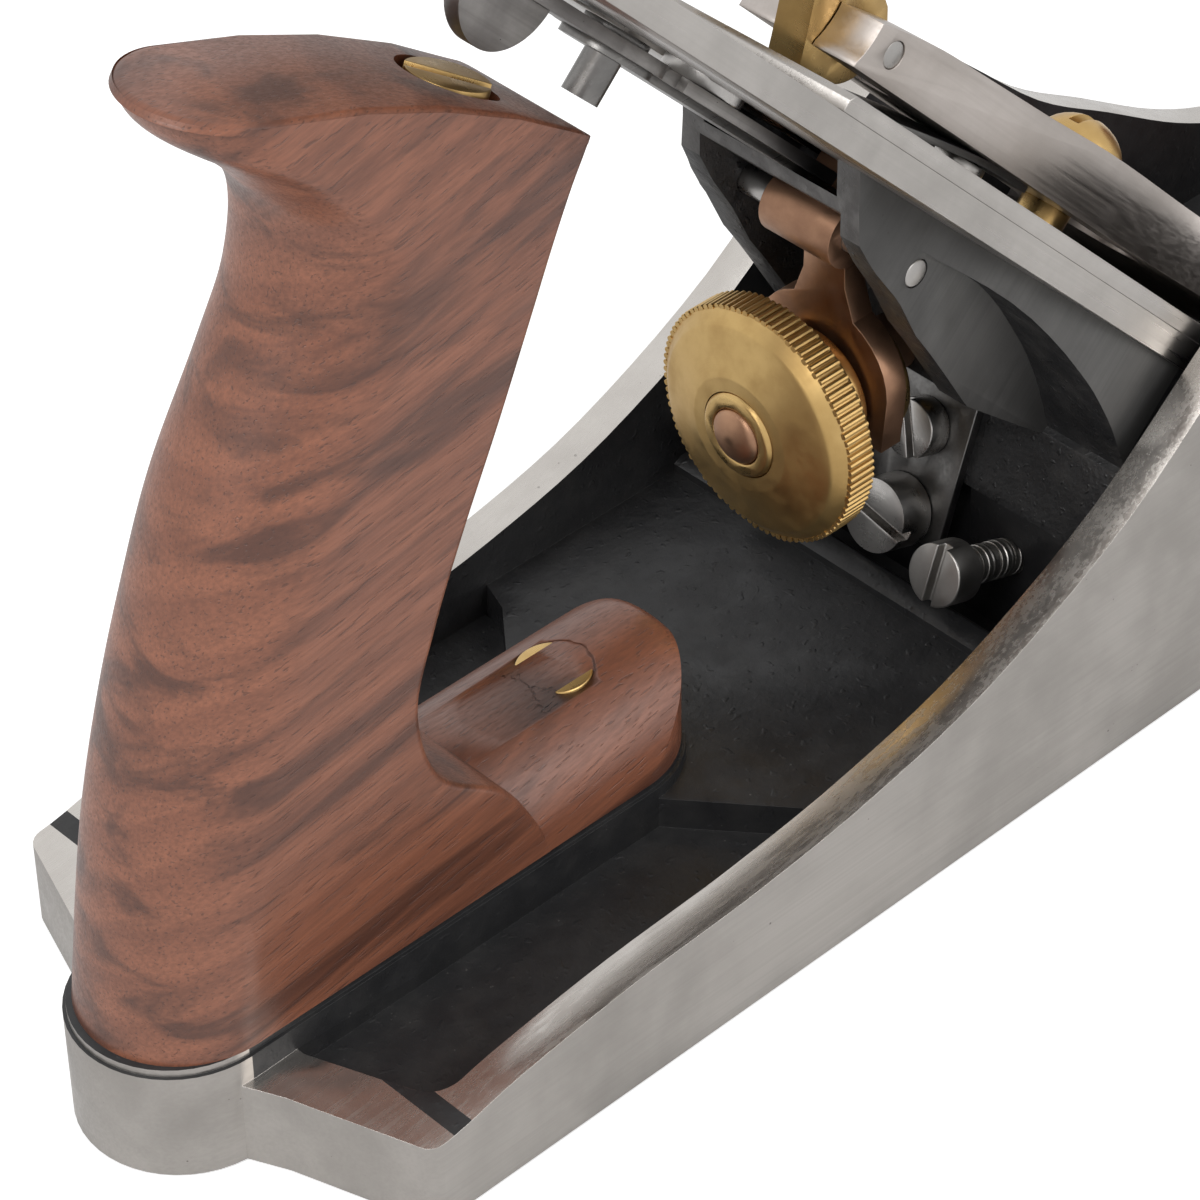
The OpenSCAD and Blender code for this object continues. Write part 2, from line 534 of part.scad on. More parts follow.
module frog_adjust_screw() color("LightSlateGray") on_ramp() translate([0, 0, -screw_v]) difference() {
    union() {
        bar_x(-6.4, foot_u - clip_t - 0.15, 4.25);
        bar_x(-2.5, foot_u + 0.15 + over, adjust_neck_r);
        bar_x(foot_u + 0.15, foot_u + 1.6, 3.4);
        bar_x(foot_u + 1, 20, adjust_thread_r);
    }
    translate([-6.4, 0, 0]) rotate([0, -90, 0]) rotate([0, 0, 80]) drive_slot(4.25, 1.2, 1.6);
}

// Depth adjuster

stud_back = 84.6;
wheel_front = wheel_back - wheel_w;
module depth_stud() color("LightSlateGray") translate([bed_x, 0, wheel_z]) rotate([0, 90, 0]) rotate_extrude()
    polygon(concat([[0, -stud_front], [stud_r, -stud_front], [stud_r, -stud_back + 1.2]],
        [for (a = [15:15:75]) [stud_r * cos(a), -stud_back + 1.2 - 1.2 * sin(a)]], [[0, -stud_back]]));

yoke_front = 67.6;
yoke_play = 0.6;
collar_w = 1.8;
module depth_sleeve() color("DarkGoldenrod") translate([bed_x, 0, wheel_z]) rotate([0, 90, 0]) rotate_extrude()
    polygon([[stud_r + run_gap, -wheel_back - 2.4], [sleeve_r - 0.4, -wheel_back - 2.4], [sleeve_r, -wheel_back - 1.8],
        [sleeve_r, -wheel_front + 0.1], [sleeve_r + 1.4, -wheel_front + 0.1],
        [sleeve_r + 1.4, -yoke_front - yoke_t - yoke_play - collar_w], [collar_r - 0.6, -yoke_front - yoke_t - yoke_play - collar_w],
        [collar_r - 0.6, -yoke_front - yoke_t - yoke_play], [sleeve_r, -yoke_front - yoke_t - yoke_play],
        [sleeve_r, -yoke_front + yoke_play], [collar_r, -yoke_front + yoke_play], [collar_r, -yoke_front + yoke_play + collar_w],
        [stud_r + run_gap, -yoke_front + yoke_play + collar_w]]);

module depth_wheel() color("Goldenrod") translate([bed_x, 0, wheel_z]) rotate([0, 90, 0]) rotate_extrude()
    polygon([[sleeve_r + run_gap, -wheel_back - 1.9], [sleeve_r + 1.6, -wheel_back - 1.9], [wheel_r - 2.6, -wheel_back - 0.7],
        [wheel_r - 0.7, -wheel_back], [wheel_r, -wheel_back + 0.7], [wheel_r, -wheel_front - 0.7], [wheel_r - 0.7, -wheel_front],
        [sleeve_r + run_gap, -wheel_front]]);

yoke_arm_hw = 9.5;
yoke_hub_hw = 5;
yoke_gap_hw = sleeve_r + free_gap;
nose_h = 3.2;
// The yoke: a fork round the sleeve, a neck up to the pivot's eye, and a nose through the iron
module yoke() color("Peru") difference() {
    union() {
        translate([bed_x - yoke_front - yoke_t, 0, 0]) rotate([90, 0, 90]) linear_extrude(yoke_t) polygon([
            [-yoke_arm_hw + 0.6, wheel_z - 4.4], [-yoke_gap_hw, wheel_z - 4.4], [-yoke_gap_hw, wheel_z],
            each arc([0, wheel_z], yoke_gap_hw, 180, 0, 12), [yoke_gap_hw, wheel_z - 4.4], [yoke_arm_hw - 0.6, wheel_z - 4.4],
            each arc([1.2, wheel_z + 2.6], yoke_arm_hw - 1.2, 0, 68, 6), [3, wheel_z + 14], [2.8, pivot_pt[1]],
            [-2.8, pivot_pt[1]], [-3, wheel_z + 14], each arc([-1.2, wheel_z + 2.6], yoke_arm_hw - 1.2, 112, 180, 6)]);
        translate([pivot_pt[0], 0, pivot_pt[1]]) bar_y(2 * yoke_hub_hw, yoke_hub_r);
        on_bed() translate([pivot_s - 2, -2.4, -pivot_h]) cube([4, 4.8, pivot_h + iron_t + cap_iron_t - 0.3]);
    }
    translate([pivot_pt[0], 0, pivot_pt[1]]) bar_y(4 * yoke_arm_hw, yoke_pin_r + run_gap);
}

module yoke_pin() color("LightSlateGray") translate([pivot_pt[0], 0, pivot_pt[1]]) bar_y(2 * flank_hw, yoke_pin_r);

// Lateral lever, its roller and its pivot

lever_h = -2.4;
lever_t = 1.4;
tab_s = 159.5;
tab_r = 6.8;
module lateral_lever() color("LightSlateGray") on_bed() difference() {
    union() {
        translate([0, 0, lever_h]) linear_extrude(lever_t) {
            translate([lateral_s, 0]) circle(6);
            translate([lateral_s - lateral_arm, 0]) circle(4);
            translate([lateral_s - lateral_arm, -3.4]) square([lateral_arm, 6.8]);
            translate([lateral_s, -4.6]) square([tab_s - lateral_s - 4, 9.2]);
            translate([tab_s - 4, 0]) circle(4.6);
        }
        translate([lateral_s - lateral_arm, 0, lever_h]) cylinder(h = iron_t - lever_h - 0.5, r = 1.5);
        intersection() {
            translate([tab_s, 0, lever_h + lever_t - 1]) bar_y(2, tab_r);
            translate([tab_s - 20, -5, lever_h + lever_t - 30]) cube([40, 10, 30]);
        }
    }
    translate([lateral_s, 0, -10]) cylinder(h = 20, r = lateral_pin_r + run_gap);
}

module lateral_roller() color("LightSlateGray") on_bed() translate([lateral_s - lateral_arm, 0, lever_h + lever_t]) difference() {
    cylinder(h = iron_t - lever_h - lever_t - 0.2, r = roller_r);
    translate([0, 0, -over]) cylinder(h = 20, r = 1.5 + run_gap);
}

module lateral_pivot() color("LightSlateGray") on_bed() translate([lateral_s, 0, 0]) {
    translate([0, 0, -recess_h - 4.6]) cylinder(h = recess_h + 4, r = lateral_pin_r);
    translate([0, 0, lever_h + lever_t]) cylinder(h = 0.7, r = 3.6);
    translate([0, 0, -recess_h]) cylinder(h = recess_h + lever_h, r = 5);
}

// Iron, cap iron and their screw

edge_s = -iron_t + sqrt(2) * edge_lift;
cap_iron_screw_s = 80;
iron_slot_lo = 50;
iron_slot_hi = 138;
cap_iron_end = 138;
cap_iron_flat = 137.4;
cap_hw = iron_w / 2 - 0.1;
cap_top = iron_t + cap_iron_t;

module bed_slab(w) on_bed() slab(w) children();

module blade() color("Silver") difference() {
    bed_slab(iron_w) polygon([[edge_s, iron_t], [iron_top, iron_t], [iron_top, slide_gap],
        [edge_s + (iron_t - slide_gap) / tan(bevel_angle), slide_gap]]);
    // clipped corners at the top end
    for (y = [-1, 1]) on_bed() translate([iron_top, y * iron_w / 2, -over]) rotate([0, 0, 45]) cube([11, 11, 20], center = true);
    on_bed() translate([iron_slot_lo, 0, -over]) cylinder(h = 10, r = slot_w / 2);
    on_bed() translate([iron_slot_lo, -slot_w / 2, -over]) cube([iron_slot_hi - iron_slot_lo, slot_w, 10]);
    on_bed() translate([iron_slot_hi, 0, -over]) cylinder(h = 10, r = slot_w / 2 + 2.6);
}

lip_s = edge_s + lip_setback;
hump_knots = [[lip_s, iron_t + 0.5], [lip_s + 2.6, cap_top + 0.3], [lip_s + 6, cap_top + hump_h - 0.3], [lip_s + 9, cap_top + hump_h],
              [lip_s + 13, cap_top + hump_h - 0.7], [lip_s + 18, cap_top + 0.4], [lip_s + 23, cap_top]];
hollow_knots = [[lip_s + 20, iron_t + 0.05], [lip_s + 15, iron_t + 0.5], [lip_s + 11, iron_t + hump_h - 0.6], [lip_s + 7, iron_t + hump_h - 0.5],
                [lip_s + 3, iron_t + 0.5], [lip_s + 1.6, iron_t]];
module cap_iron() color("Gainsboro") difference() {
    bed_slab(2 * cap_hw) polygon(concat(spline(hump_knots, 4), [[cap_iron_flat, cap_top], [cap_iron_end, cap_top - 0.6], [cap_iron_end, iron_t]],
        [[lip_s + 23, iron_t]], spline(hollow_knots, 4), [[lip_s, iron_t]]));
    on_bed() translate([pivot_s - 2.7, -3, 0]) cube([5.4, 6, 20]);
    on_bed() translate([cap_iron_screw_s, 0, 0]) cylinder(h = 20, r = 3.9 + run_gap);
    on_bed() translate([cap_screw_s - 3, 0, 0]) cylinder(h = 20, r = cap_screw_r + 1);
    on_bed() translate([cap_screw_s - 3, -cap_shank_r - 1.4, 0]) cube([10, 2 * cap_shank_r + 2.8, 20]);
}

module cap_iron_screw() color("LightSlateGray") on_bed() translate([cap_iron_screw_s, 0, 0]) difference() {
    union() {
        translate([0, 0, -3.4]) cylinder(h = 3.4, r = 7.6);
        translate([0, 0, -1]) cylinder(h = cap_top + 1.6, r = 3.9);
    }
    translate([0, 0, -3.4]) mirror([0, 0, 1]) drive_slot(7.6, 1.6, 1.6);
}

// Lever cap, its spring and cam

neck_s = 62;
lip_front = lip_s + 6.4;
well_floor = 13.7;
cam_slot_s = cam_pin_s - 12;
cap_plan_half = concat([[lip_front, cap_front_hw]], spline([[lip_front + 17, cap_front_hw], [lip_front + 24, cap_front_hw - 1.4],
    [lip_front + 31, cap_front_hw - 6.5], [lip_front + 38, neck_hw + 4.6], [lip_front + 46, neck_hw + 1.2], [neck_s, neck_hw]], 5),
    [[ear_end, neck_hw - 0.6]]);
cap_top_knots = [[lip_front, cap_top + hump_h + 2.6], [lip_front + 6, 11], [lip_front + 18, 13.2], [lip_front + 34, 15.4], [neck_s, 16.2], [80, 15.6],
                 [95, 15.2], [105, 14.8], [ear_end, 13.6]];
cap_under = [[ear_end, neck_h], [lip_front + 10, neck_h], [lip_front + 5, cap_top + hump_h + free_gap], [lip_front, cap_top + hump_h + free_gap]];

module lever_cap() color("Silver") difference() {
    intersection() {
        on_bed() linear_extrude(40) polygon(concat(flip(cap_plan_half), cap_plan_half));
        bed_slab(iron_w + 2) polygon(concat(spline(cap_top_knots, 5), cap_under));
    }
    // keyhole and the sunk well round the screw's head
    on_bed() translate([cap_screw_s, 0, 0]) cylinder(h = 30, r = cap_shank_r + 0.4);
    on_bed() translate([cap_screw_s - cap_travel, -cap_shank_r - 0.4, 0]) cube([cap_travel, 2 * cap_shank_r + 0.8, 30]);
    on_bed() translate([cap_screw_s - cap_travel, 0, 0]) cylinder(h = 30, r = cap_screw_r + 0.5);
    on_bed() translate([cap_screw_s, 0, well_floor]) cylinder(h = 30, r = cap_screw_r + 1);
    on_bed() translate([cap_screw_s - cap_travel, -cap_screw_r - 1, well_floor]) cube([cap_travel, 2 * cap_screw_r + 2, 30]);
    on_bed() translate([cap_screw_s - cap_travel, 0, well_floor]) cylinder(h = 30, r = cap_screw_r + 1);
    // slot between the ears, the pin's bore, hollow rear faces, rivet hole
    on_bed() translate([cam_slot_s, -cam_t / 2 - 0.1, 0]) cube([40, cam_t + 0.2, 40]);
    on_bed() translate([cam_pin_s, 0, cam_pin_h]) bar_y(4 * neck_hw, cam_pin_r + run_gap);
    on_bed() translate([ear_end + 7.6, 0, 12.6]) bar_y(4 * neck_hw, 8.4);
    on_bed() translate([rivet_s, 0, 0]) cylinder(h = neck_h + 3, r = 1.5 + run_gap);
}

rivet_s = 78;
cam_r = 5.6;
spring_top = cam_pin_h - cam_r - 0.05;
spring_t = 0.8;
spring_low_s = 118;
spring_line = [[rivet_s - 5, neck_h - 0.02], [rivet_s + 4, neck_h - 0.1], [rivet_s + 14, neck_h - 1], [rivet_s + 24, spring_top + 0.3], [108, spring_top], [spring_low_s, spring_top]];
module lever_cap_spring() color("SteelBlue") difference() {
    bed_slab(12) polygon(let(p = spline(spring_line, 4), n = len(p)) concat(p, [for (i = [n - 1:-1:0]) p[i] - [0, spring_t]]));
    on_bed() translate([rivet_s, 0, 0]) cylinder(h = 20, r = 1.5 + run_gap);
}

module spring_rivet() color("LightSlateGray") on_bed() translate([rivet_s, 0, 0]) {
    translate([0, 0, neck_h - 0.9 - 1.1]) cylinder(h = 1.05, r = 3);
    translate([0, 0, neck_h - 1.5]) cylinder(h = 4, r = 1.5);
}

// The cam lever: a short foot under the pin and a curved thumb lever up the slope
cam_arm = [[-3.2, 4.2], [1.5, 6.2], [8, 8.4], [16, 11.4], [24, 13.4], [31, 13.2]];
cam_under = [[30.6, 9.6], [24, 9.6], [17, 7.8], [11, 4.4], [7.5, -0.9], [4.9, -cam_r]];
cam_foot = arc([0, 0], cam_r, -90, -205, 16);
module cam_lever() color("Goldenrod") on_bed() translate([cam_pin_s, 0, cam_pin_h]) difference() {
    union() {
        slab(cam_t) polygon(concat(cam_foot, spline(cam_arm, 5), spline(cam_under, 5)));
        intersection() {
            slab(13) polygon(concat(spline([[14, 10.7], [18, 12], [24, 13.4], [31, 13.2]], 5), [[30.6, 9.6], [24, 9.6], [18, 8.4]]));
            linear_extrude(40) translate([23.6, 0]) resize_free_tab();
        }
    }
    bar_y(2 * cam_t, cam_pin_r + run_gap);
}
module resize_free_tab() intersection() {
    circle(r = 8.4);
    square([40, 12.4], center = true);
}

module cam_pin() color("LightSlateGray") on_bed() translate([cam_pin_s, 0, cam_pin_h]) bar_y(2 * neck_hw - 1.3, cam_pin_r);

// The lever cap screw: a domed brass head over the keyhole, its shank in the frog
module lever_cap_screw() color("Goldenrod") on_bed() translate([cap_screw_s, 0, 0]) difference() {
    union() {
        translate([0, 0, -12]) cylinder(h = 12 + well_floor + 0.5, r = cap_shank_r);
        translate([0, 0, well_floor + 0.1]) rotate_extrude() polygon(concat([[0, 0]],
            [for (a = [0:10:80]) [cap_screw_r * cos(a), 0.8 + (cap_screw_r - 0.7) * sin(a)]], [[0, cap_screw_r + 0.1]]));
    }
    translate([0, 0, well_floor + cap_screw_r + 0.2]) drive_slot(cap_screw_r, 1.4, 1.6);
}

body();
tote();
tote_rod();
tote_nut();
tote_toe_screw();
knob();
knob_rod();
knob_nut();
frog();
frog_draw_pin_left();
frog_draw_pin_right();
frog_clamp_screw_left();
frog_clamp_screw_right();
frog_clip();
frog_clip_screw();
frog_adjust_screw();
depth_stud();
depth_sleeve();
depth_wheel();
yoke();
yoke_pin();
lateral_lever();
lateral_roller();
lateral_pivot();
blade();
cap_iron();
cap_iron_screw();
lever_cap();
lever_cap_spring();
spring_rivet();
cam_lever();
cam_pin();
lever_cap_screw();
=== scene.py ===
"""Bench smoothing plane: the looks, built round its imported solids.

Sizes are written in millimetres and meshes are in metres. +X runs to the toe, +Y to the user's left, +Z up
from the sole.
"""

import logging
import math
from dataclasses import dataclass, field
from enum import Enum
from typing import Callable, Iterable, Optional, Sequence

import bmesh
import bpy
from mathutils import Matrix, Vector


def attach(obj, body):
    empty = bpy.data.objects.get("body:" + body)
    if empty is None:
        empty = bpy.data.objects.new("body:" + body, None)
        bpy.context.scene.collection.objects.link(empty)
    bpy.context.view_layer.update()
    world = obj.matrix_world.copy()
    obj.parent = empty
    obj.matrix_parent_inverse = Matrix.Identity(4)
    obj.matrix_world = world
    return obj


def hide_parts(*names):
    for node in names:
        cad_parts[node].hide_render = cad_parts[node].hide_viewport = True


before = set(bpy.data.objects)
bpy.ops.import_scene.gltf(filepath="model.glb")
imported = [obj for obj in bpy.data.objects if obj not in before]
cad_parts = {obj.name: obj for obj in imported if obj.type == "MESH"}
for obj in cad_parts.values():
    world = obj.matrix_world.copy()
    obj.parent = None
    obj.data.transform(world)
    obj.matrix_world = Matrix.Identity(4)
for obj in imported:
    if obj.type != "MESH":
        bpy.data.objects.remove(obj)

LOG = logging.getLogger("plane")
MM = 0.001
HEEL_X = -106.0
BED_X = 50.6
SEAT_X = -3.0
SEAT_Z = 22.0
WHEEL_Z = 41.4
KNOB_X = 81.5
ROD_BORE = 3.05
RAMP_ANGLE = math.radians(19)
BED_ANGLE = math.radians(45)
ROOT_HALF = math.sqrt(0.5)

Point = tuple[float, float, float]
Colour = tuple[float, float, float]


def bed(s: float, h: float, y: float = 0.0) -> Vector:
    """Point of the bed frame.

    Args:
        s: distance up the slope, mm.
        h: height over the bed, mm.
        y: sideways place, mm.

    Returns:
        The point in metres.
    """
    return Vector((BED_X - (s - h) * ROOT_HALF, y, (s + h) * ROOT_HALF)) * MM


def ramp(u: float, v: float, y: float = 0.0) -> Vector:
    """Point of the ramp frame.

    Args:
        u: distance down the frog seat, mm.
        v: height over the seat, mm.
        y: sideways place, mm.

    Returns:
        The point in metres.
    """
    cos, sin = math.cos(RAMP_ANGLE), math.sin(RAMP_ANGLE)
    return Vector((SEAT_X + u * cos + v * sin, y, SEAT_Z - u * sin + v * cos)) * MM


def heel(d: float, z: float) -> tuple[float, float]:
    """Side-view point measured from the heel corners, mm."""
    return (HEEL_X + d, z)


def catmull(knots: Sequence[tuple[float, ...]], t: float) -> tuple[float, ...]:
    """Point on a smooth curve through knots.

    Args:
        knots: the points that the curve passes.
        t: share of the way, 0 to 1.

    Returns:
        The point at that share.
    """
    last = len(knots) - 1
    x = t * last
    i = min(int(x), last - 1)
    x -= i
    a, b, c, d = knots[max(i - 1, 0)], knots[i], knots[i + 1], knots[min(i + 2, last)]
    return tuple(0.5 * (2 * q + (r - p) * x + (2 * p - 5 * q + 4 * r - s) * x * x
                        + (3 * q - p - 3 * r + s) * x ** 3)
                 for p, q, r, s in zip(a, b, c, d))


# Node trees


class NodeBoard:
    """Short calls for placing and linking the nodes of one tree."""

    def __init__(self, tree: bpy.types.NodeTree) -> None:
        """Keeps the tree that gets the nodes."""
        self.tree = tree

    def add(self, kind: str, props: Optional[dict] = None, **inputs: object) -> bpy.types.Node:
        """Adds a node.

        Args:
            kind: the node's type name.
            props: its settings.
            inputs: its sockets by name, with _ for a blank, each a constant or a socket to link.

        Returns:
            The node.
        """
        node = self.tree.nodes.new(kind)
        for name, value in (props or {}).items():
            setattr(node, name, value)
        for name, value in inputs.items():
            self.feed(node.inputs[name.replace("_", " ")], value)
        return node

    def feed(self, socket: bpy.types.NodeSocket, value: object) -> None:
        """Links or sets one input.

        Args:
            socket: the input.
            value: a constant, or the output to link.
        """
        if isinstance(value, bpy.types.NodeSocket):
            self.tree.links.new(value, socket)
        elif socket.type == "RGBA" and isinstance(value, tuple) and len(value) == 3:
            socket.default_value = (*value, 1.0)
        else:
            socket.default_value = value

    def math(self, op: str, a: object, b: object = 0.0, clamp: bool = False) -> bpy.types.NodeSocket:
        """One Math node.

        Args:
            op: the operation.
            a: first value or socket.
            b: second value or socket.
            clamp: keeps the result from 0 to 1.

        Returns:
            The result's socket.
        """
        node = self.add("ShaderNodeMath", {"operation": op, "use_clamp": clamp})
        self.feed(node.inputs[0], a)
        self.feed(node.inputs[1], b)
        return node.outputs[0]

    def mix(self, share: object, a: object, b: object, blend: str = "MIX") -> bpy.types.NodeSocket:
        """Mixes two colours.

        Args:
            share: how much of b.
            a: first colour.
            b: second colour.
            blend: the way of mixing.

        Returns:
            The colour's socket.
        """
        node = self.add("ShaderNodeMix", {"data_type": "RGBA", "blend_type": blend})
        self.feed(node.inputs[0], share)
        self.feed(node.inputs[6], a)
        self.feed(node.inputs[7], b)
        return node.outputs[2]

    def span(self, value: object, lo: float, hi: float, out_lo: float = 0.0, out_hi: float = 1.0,
             smooth: bool = True) -> bpy.types.NodeSocket:
        """Maps lo..hi to out_lo..out_hi.

        Args:
            value: the value or socket.
            lo: where the range starts.
            hi: where it ends.
            out_lo: the result at lo.
            out_hi: the result at hi.
            smooth: eases both ends.

        Returns:
            The result's socket.
        """
        easing = "SMOOTHSTEP" if smooth else "LINEAR"
        node = self.add("ShaderNodeMapRange", {"interpolation_type": easing, "clamp": True})
        for i, item in enumerate((value, lo, hi, out_lo, out_hi)):
            self.feed(node.inputs[i], item)
        return node.outputs[0]

    def ramp(self, value: object, stops: Sequence[tuple[float, Colour]]) -> bpy.types.NodeSocket:
        """Colours by value.

        Args:
            value: the value from 0 to 1.
            stops: places and colours.

        Returns:
            The colour's socket.
        """
        node = self.add("ShaderNodeValToRGB")
        self.feed(node.inputs[0], value)
        marks = node.color_ramp.elements
        marks[0].position, marks[1].position = stops[0][0], stops[-1][0]
        marks[0].color, marks[1].color = (*stops[0][1], 1), (*stops[-1][1], 1)
        for place, colour in stops[1:-1]:
            marks.new(place).color = (*colour, 1)
        return node.outputs[0]

    def noise(self, vector: object, scale: object, detail: float = 3.0, rough: float = 0.5,
              distortion: float = 0.0) -> bpy.types.NodeSocket:
        """Noise from 0 to 1.

        Args:
            vector: the place.
            scale: how fine it is.
            detail: number of octaves.
            rough: share of the finer octaves.
            distortion: how far it is bent.

        Returns:
            The value's socket.
        """
        node = self.add("ShaderNodeTexNoise", None, Vector=vector, Scale=scale, Detail=detail, Roughness=rough,
                        Distortion=distortion)
        return node.outputs[0]

    def place(self, vector: object, loc: Point = (0, 0, 0), turn: Point = (0, 0, 0),
              scale: Point = (1, 1, 1)) -> bpy.types.NodeSocket:
        """Moves, turns and scales a place.

        Args:
            vector: the place.
            loc: what is added, metres.
            turn: Euler angles, radians.
            scale: scale along each axis.

        Returns:
            The new place's socket.
        """
        node = self.add("ShaderNodeMapping", {"vector_type": "POINT"})
        self.feed(node.inputs[0], vector)
        node.inputs[1].default_value = loc
        node.inputs[2].default_value = turn
        node.inputs[3].default_value = scale
        return node.outputs[0]

    def split(self, vector: object) -> tuple[bpy.types.NodeSocket, ...]:
        """The three parts of a vector."""
        return tuple(self.add("ShaderNodeSeparateXYZ", None, Vector=vector).outputs)

    def bump(self, height: object, depth: float, strength: float = 1.0,
             normal: object = None) -> bpy.types.NodeSocket:
        """A Bump node.

        Args:
            height: the height from 0 to 1.
            depth: what a height of 1 is, metres.
            strength: its strength.
            normal: a normal to build on.

        Returns:
            The normal's socket.
        """
        node = self.add("ShaderNodeBump", None, Strength=strength, Distance=depth, Height=height)
        if normal is not None:
            self.feed(node.inputs["Normal"], normal)
        return node.outputs[0]


class EffectGroup:
    """A shader node group that several finishes share."""

    def __init__(self, name: str, inputs: dict[str, object], outputs: dict[str, str],
                 build: Callable[[NodeBoard, dict, dict], None]) -> None:
        """Builds the group once.

        Args:
            name: the group's name.
            inputs: input names with their default, or "vector".
            outputs: output names with their socket type.
            build: fills the group.
        """
        self.tree = bpy.data.node_groups.new(name, "ShaderNodeTree")
        for key, default in inputs.items():
            kind = "NodeSocketVector" if default == "vector" else "NodeSocketFloat"
            socket = self.tree.interface.new_socket(key, in_out="INPUT", socket_type=kind)
            if default != "vector":
                socket.default_value = default
        for key, kind in outputs.items():
            self.tree.interface.new_socket(key, in_out="OUTPUT", socket_type=kind)
        board = NodeBoard(self.tree)
        source, sink = board.add("NodeGroupInput"), board.add("NodeGroupOutput")
        build(board, {s.name: s for s in source.outputs if s.name}, {s.name: s for s in sink.inputs if s.name})

    def put(self, board: NodeBoard, **inputs: object) -> dict[str, bpy.types.NodeSocket]:
        """Places the group in a material.

        Args:
            board: the material's board.
            inputs: the group's inputs, with _ for a blank.

        Returns:
            The outputs by name.
        """
        node = board.add("ShaderNodeGroup", {"node_tree": self.tree}, **inputs)
        return {s.name: s for s in node.outputs}


def build_scratches(board: NodeBoard, given: dict, out: dict) -> None:
    """Fine lines along local X, some deeper than others.

    Args:
        board: the group's board.
        given: its inputs by name.
        out: its outputs by name.
    """
    fine = board.noise(board.place(given["Vector"], scale=(40, 2600, 2600)), given["Scale"], 2.0, 0.6)
    broad = board.noise(board.place(given["Vector"], scale=(15, 420, 420)), given["Scale"], 2.0, 0.5)
    lines = board.math("ADD", board.math("MULTIPLY", fine, 0.6), board.math("MULTIPLY", broad, 0.4))
    board.feed(out["Height"], lines)
    board.feed(out["Mask"], board.span(lines, 0.35, 0.65))


def build_cast_skin(board: NodeBoard, given: dict, out: dict) -> None:
    """The orange-peel skin of painted cast iron.

    Args:
        board: the group's board.
        given: its inputs by name.
        out: its outputs by name.
    """
    coarse = board.noise(given["Vector"], board.math("MULTIPLY", given["Scale"], 260.0), 3.0, 0.55)
    fine = board.noise(given["Vector"], board.math("MULTIPLY", given["Scale"], 1400.0), 4.0, 0.6)
    grain = board.noise(given["Vector"], board.math("MULTIPLY", given["Scale"], 900.0), 1.0, 0.5)
    grit = board.span(grain, 0.62, 0.78)
    height = board.math("ADD", board.math("MULTIPLY", coarse, 0.7), board.math("MULTIPLY", fine, 0.22))
    board.feed(out["Height"], board.math("ADD", height, board.math("MULTIPLY", grit, 0.25)))
    board.feed(out["Mask"], board.span(coarse, 0.35, 0.7))
    board.feed(out["Grit"], grit)


def build_specks(board: NodeBoard, given: dict, out: dict) -> None:
    """Small scattered marks, such as dust or pits.

    Args:
        board: the group's board.
        given: its inputs by name.
        out: its outputs by name.
    """
    spots = board.add("ShaderNodeTexVoronoi", {"feature": "F1"}, Vector=given["Vector"],
                      Scale=board.math("MULTIPLY", given["Scale"], 500.0))
    size = board.noise(given["Vector"], board.math("MULTIPLY", given["Scale"], 190.0), 2.0)
    reach = board.math("MULTIPLY", board.span(size, 0.5, 0.8), given["Cover"])
    board.feed(out["Mask"], board.math("LESS_THAN", spots.outputs["Distance"], reach))


def build_clouding(board: NodeBoard, given: dict, out: dict) -> None:
    """Slow changes of tone over a surface.

    Args:
        board: the group's board.
        given: its inputs by name.
        out: its outputs by name.
    """
    wide = board.noise(given["Vector"], board.math("MULTIPLY", given["Scale"], 28.0), 4.0, 0.55, 0.4)
    near = board.noise(given["Vector"], board.math("MULTIPLY", given["Scale"], 130.0), 5.0, 0.6)
    board.feed(out["Mask"], board.span(board.math("ADD", board.math("MULTIPLY", wide, 0.65),
                                                  board.math("MULTIPLY", near, 0.35)), 0.36, 0.64))
    board.feed(out["Fine"], near)


def build_turning(board: NodeBoard, given: dict, out: dict) -> None:
    """Rings left by a lathe round local Z.

    Args:
        board: the group's board.
        given: its inputs by name.
        out: its outputs by name.
    """
    x, y, z = board.split(given["Vector"])
    square = board.math("ADD", board.math("MULTIPLY", x, x), board.math("MULTIPLY", y, y))
    radius = board.math("SQRT", square)
    line = board.add("ShaderNodeCombineXYZ", None, X=board.math("ADD", radius, board.math("MULTIPLY", z, 0.7)))
    rings = board.noise(line.outputs[0], board.math("MULTIPLY", given["Scale"], 9000.0), 2.0, 0.7)
    board.feed(out["Height"], rings)
    board.feed(out["Mask"], board.span(rings, 0.38, 0.62))


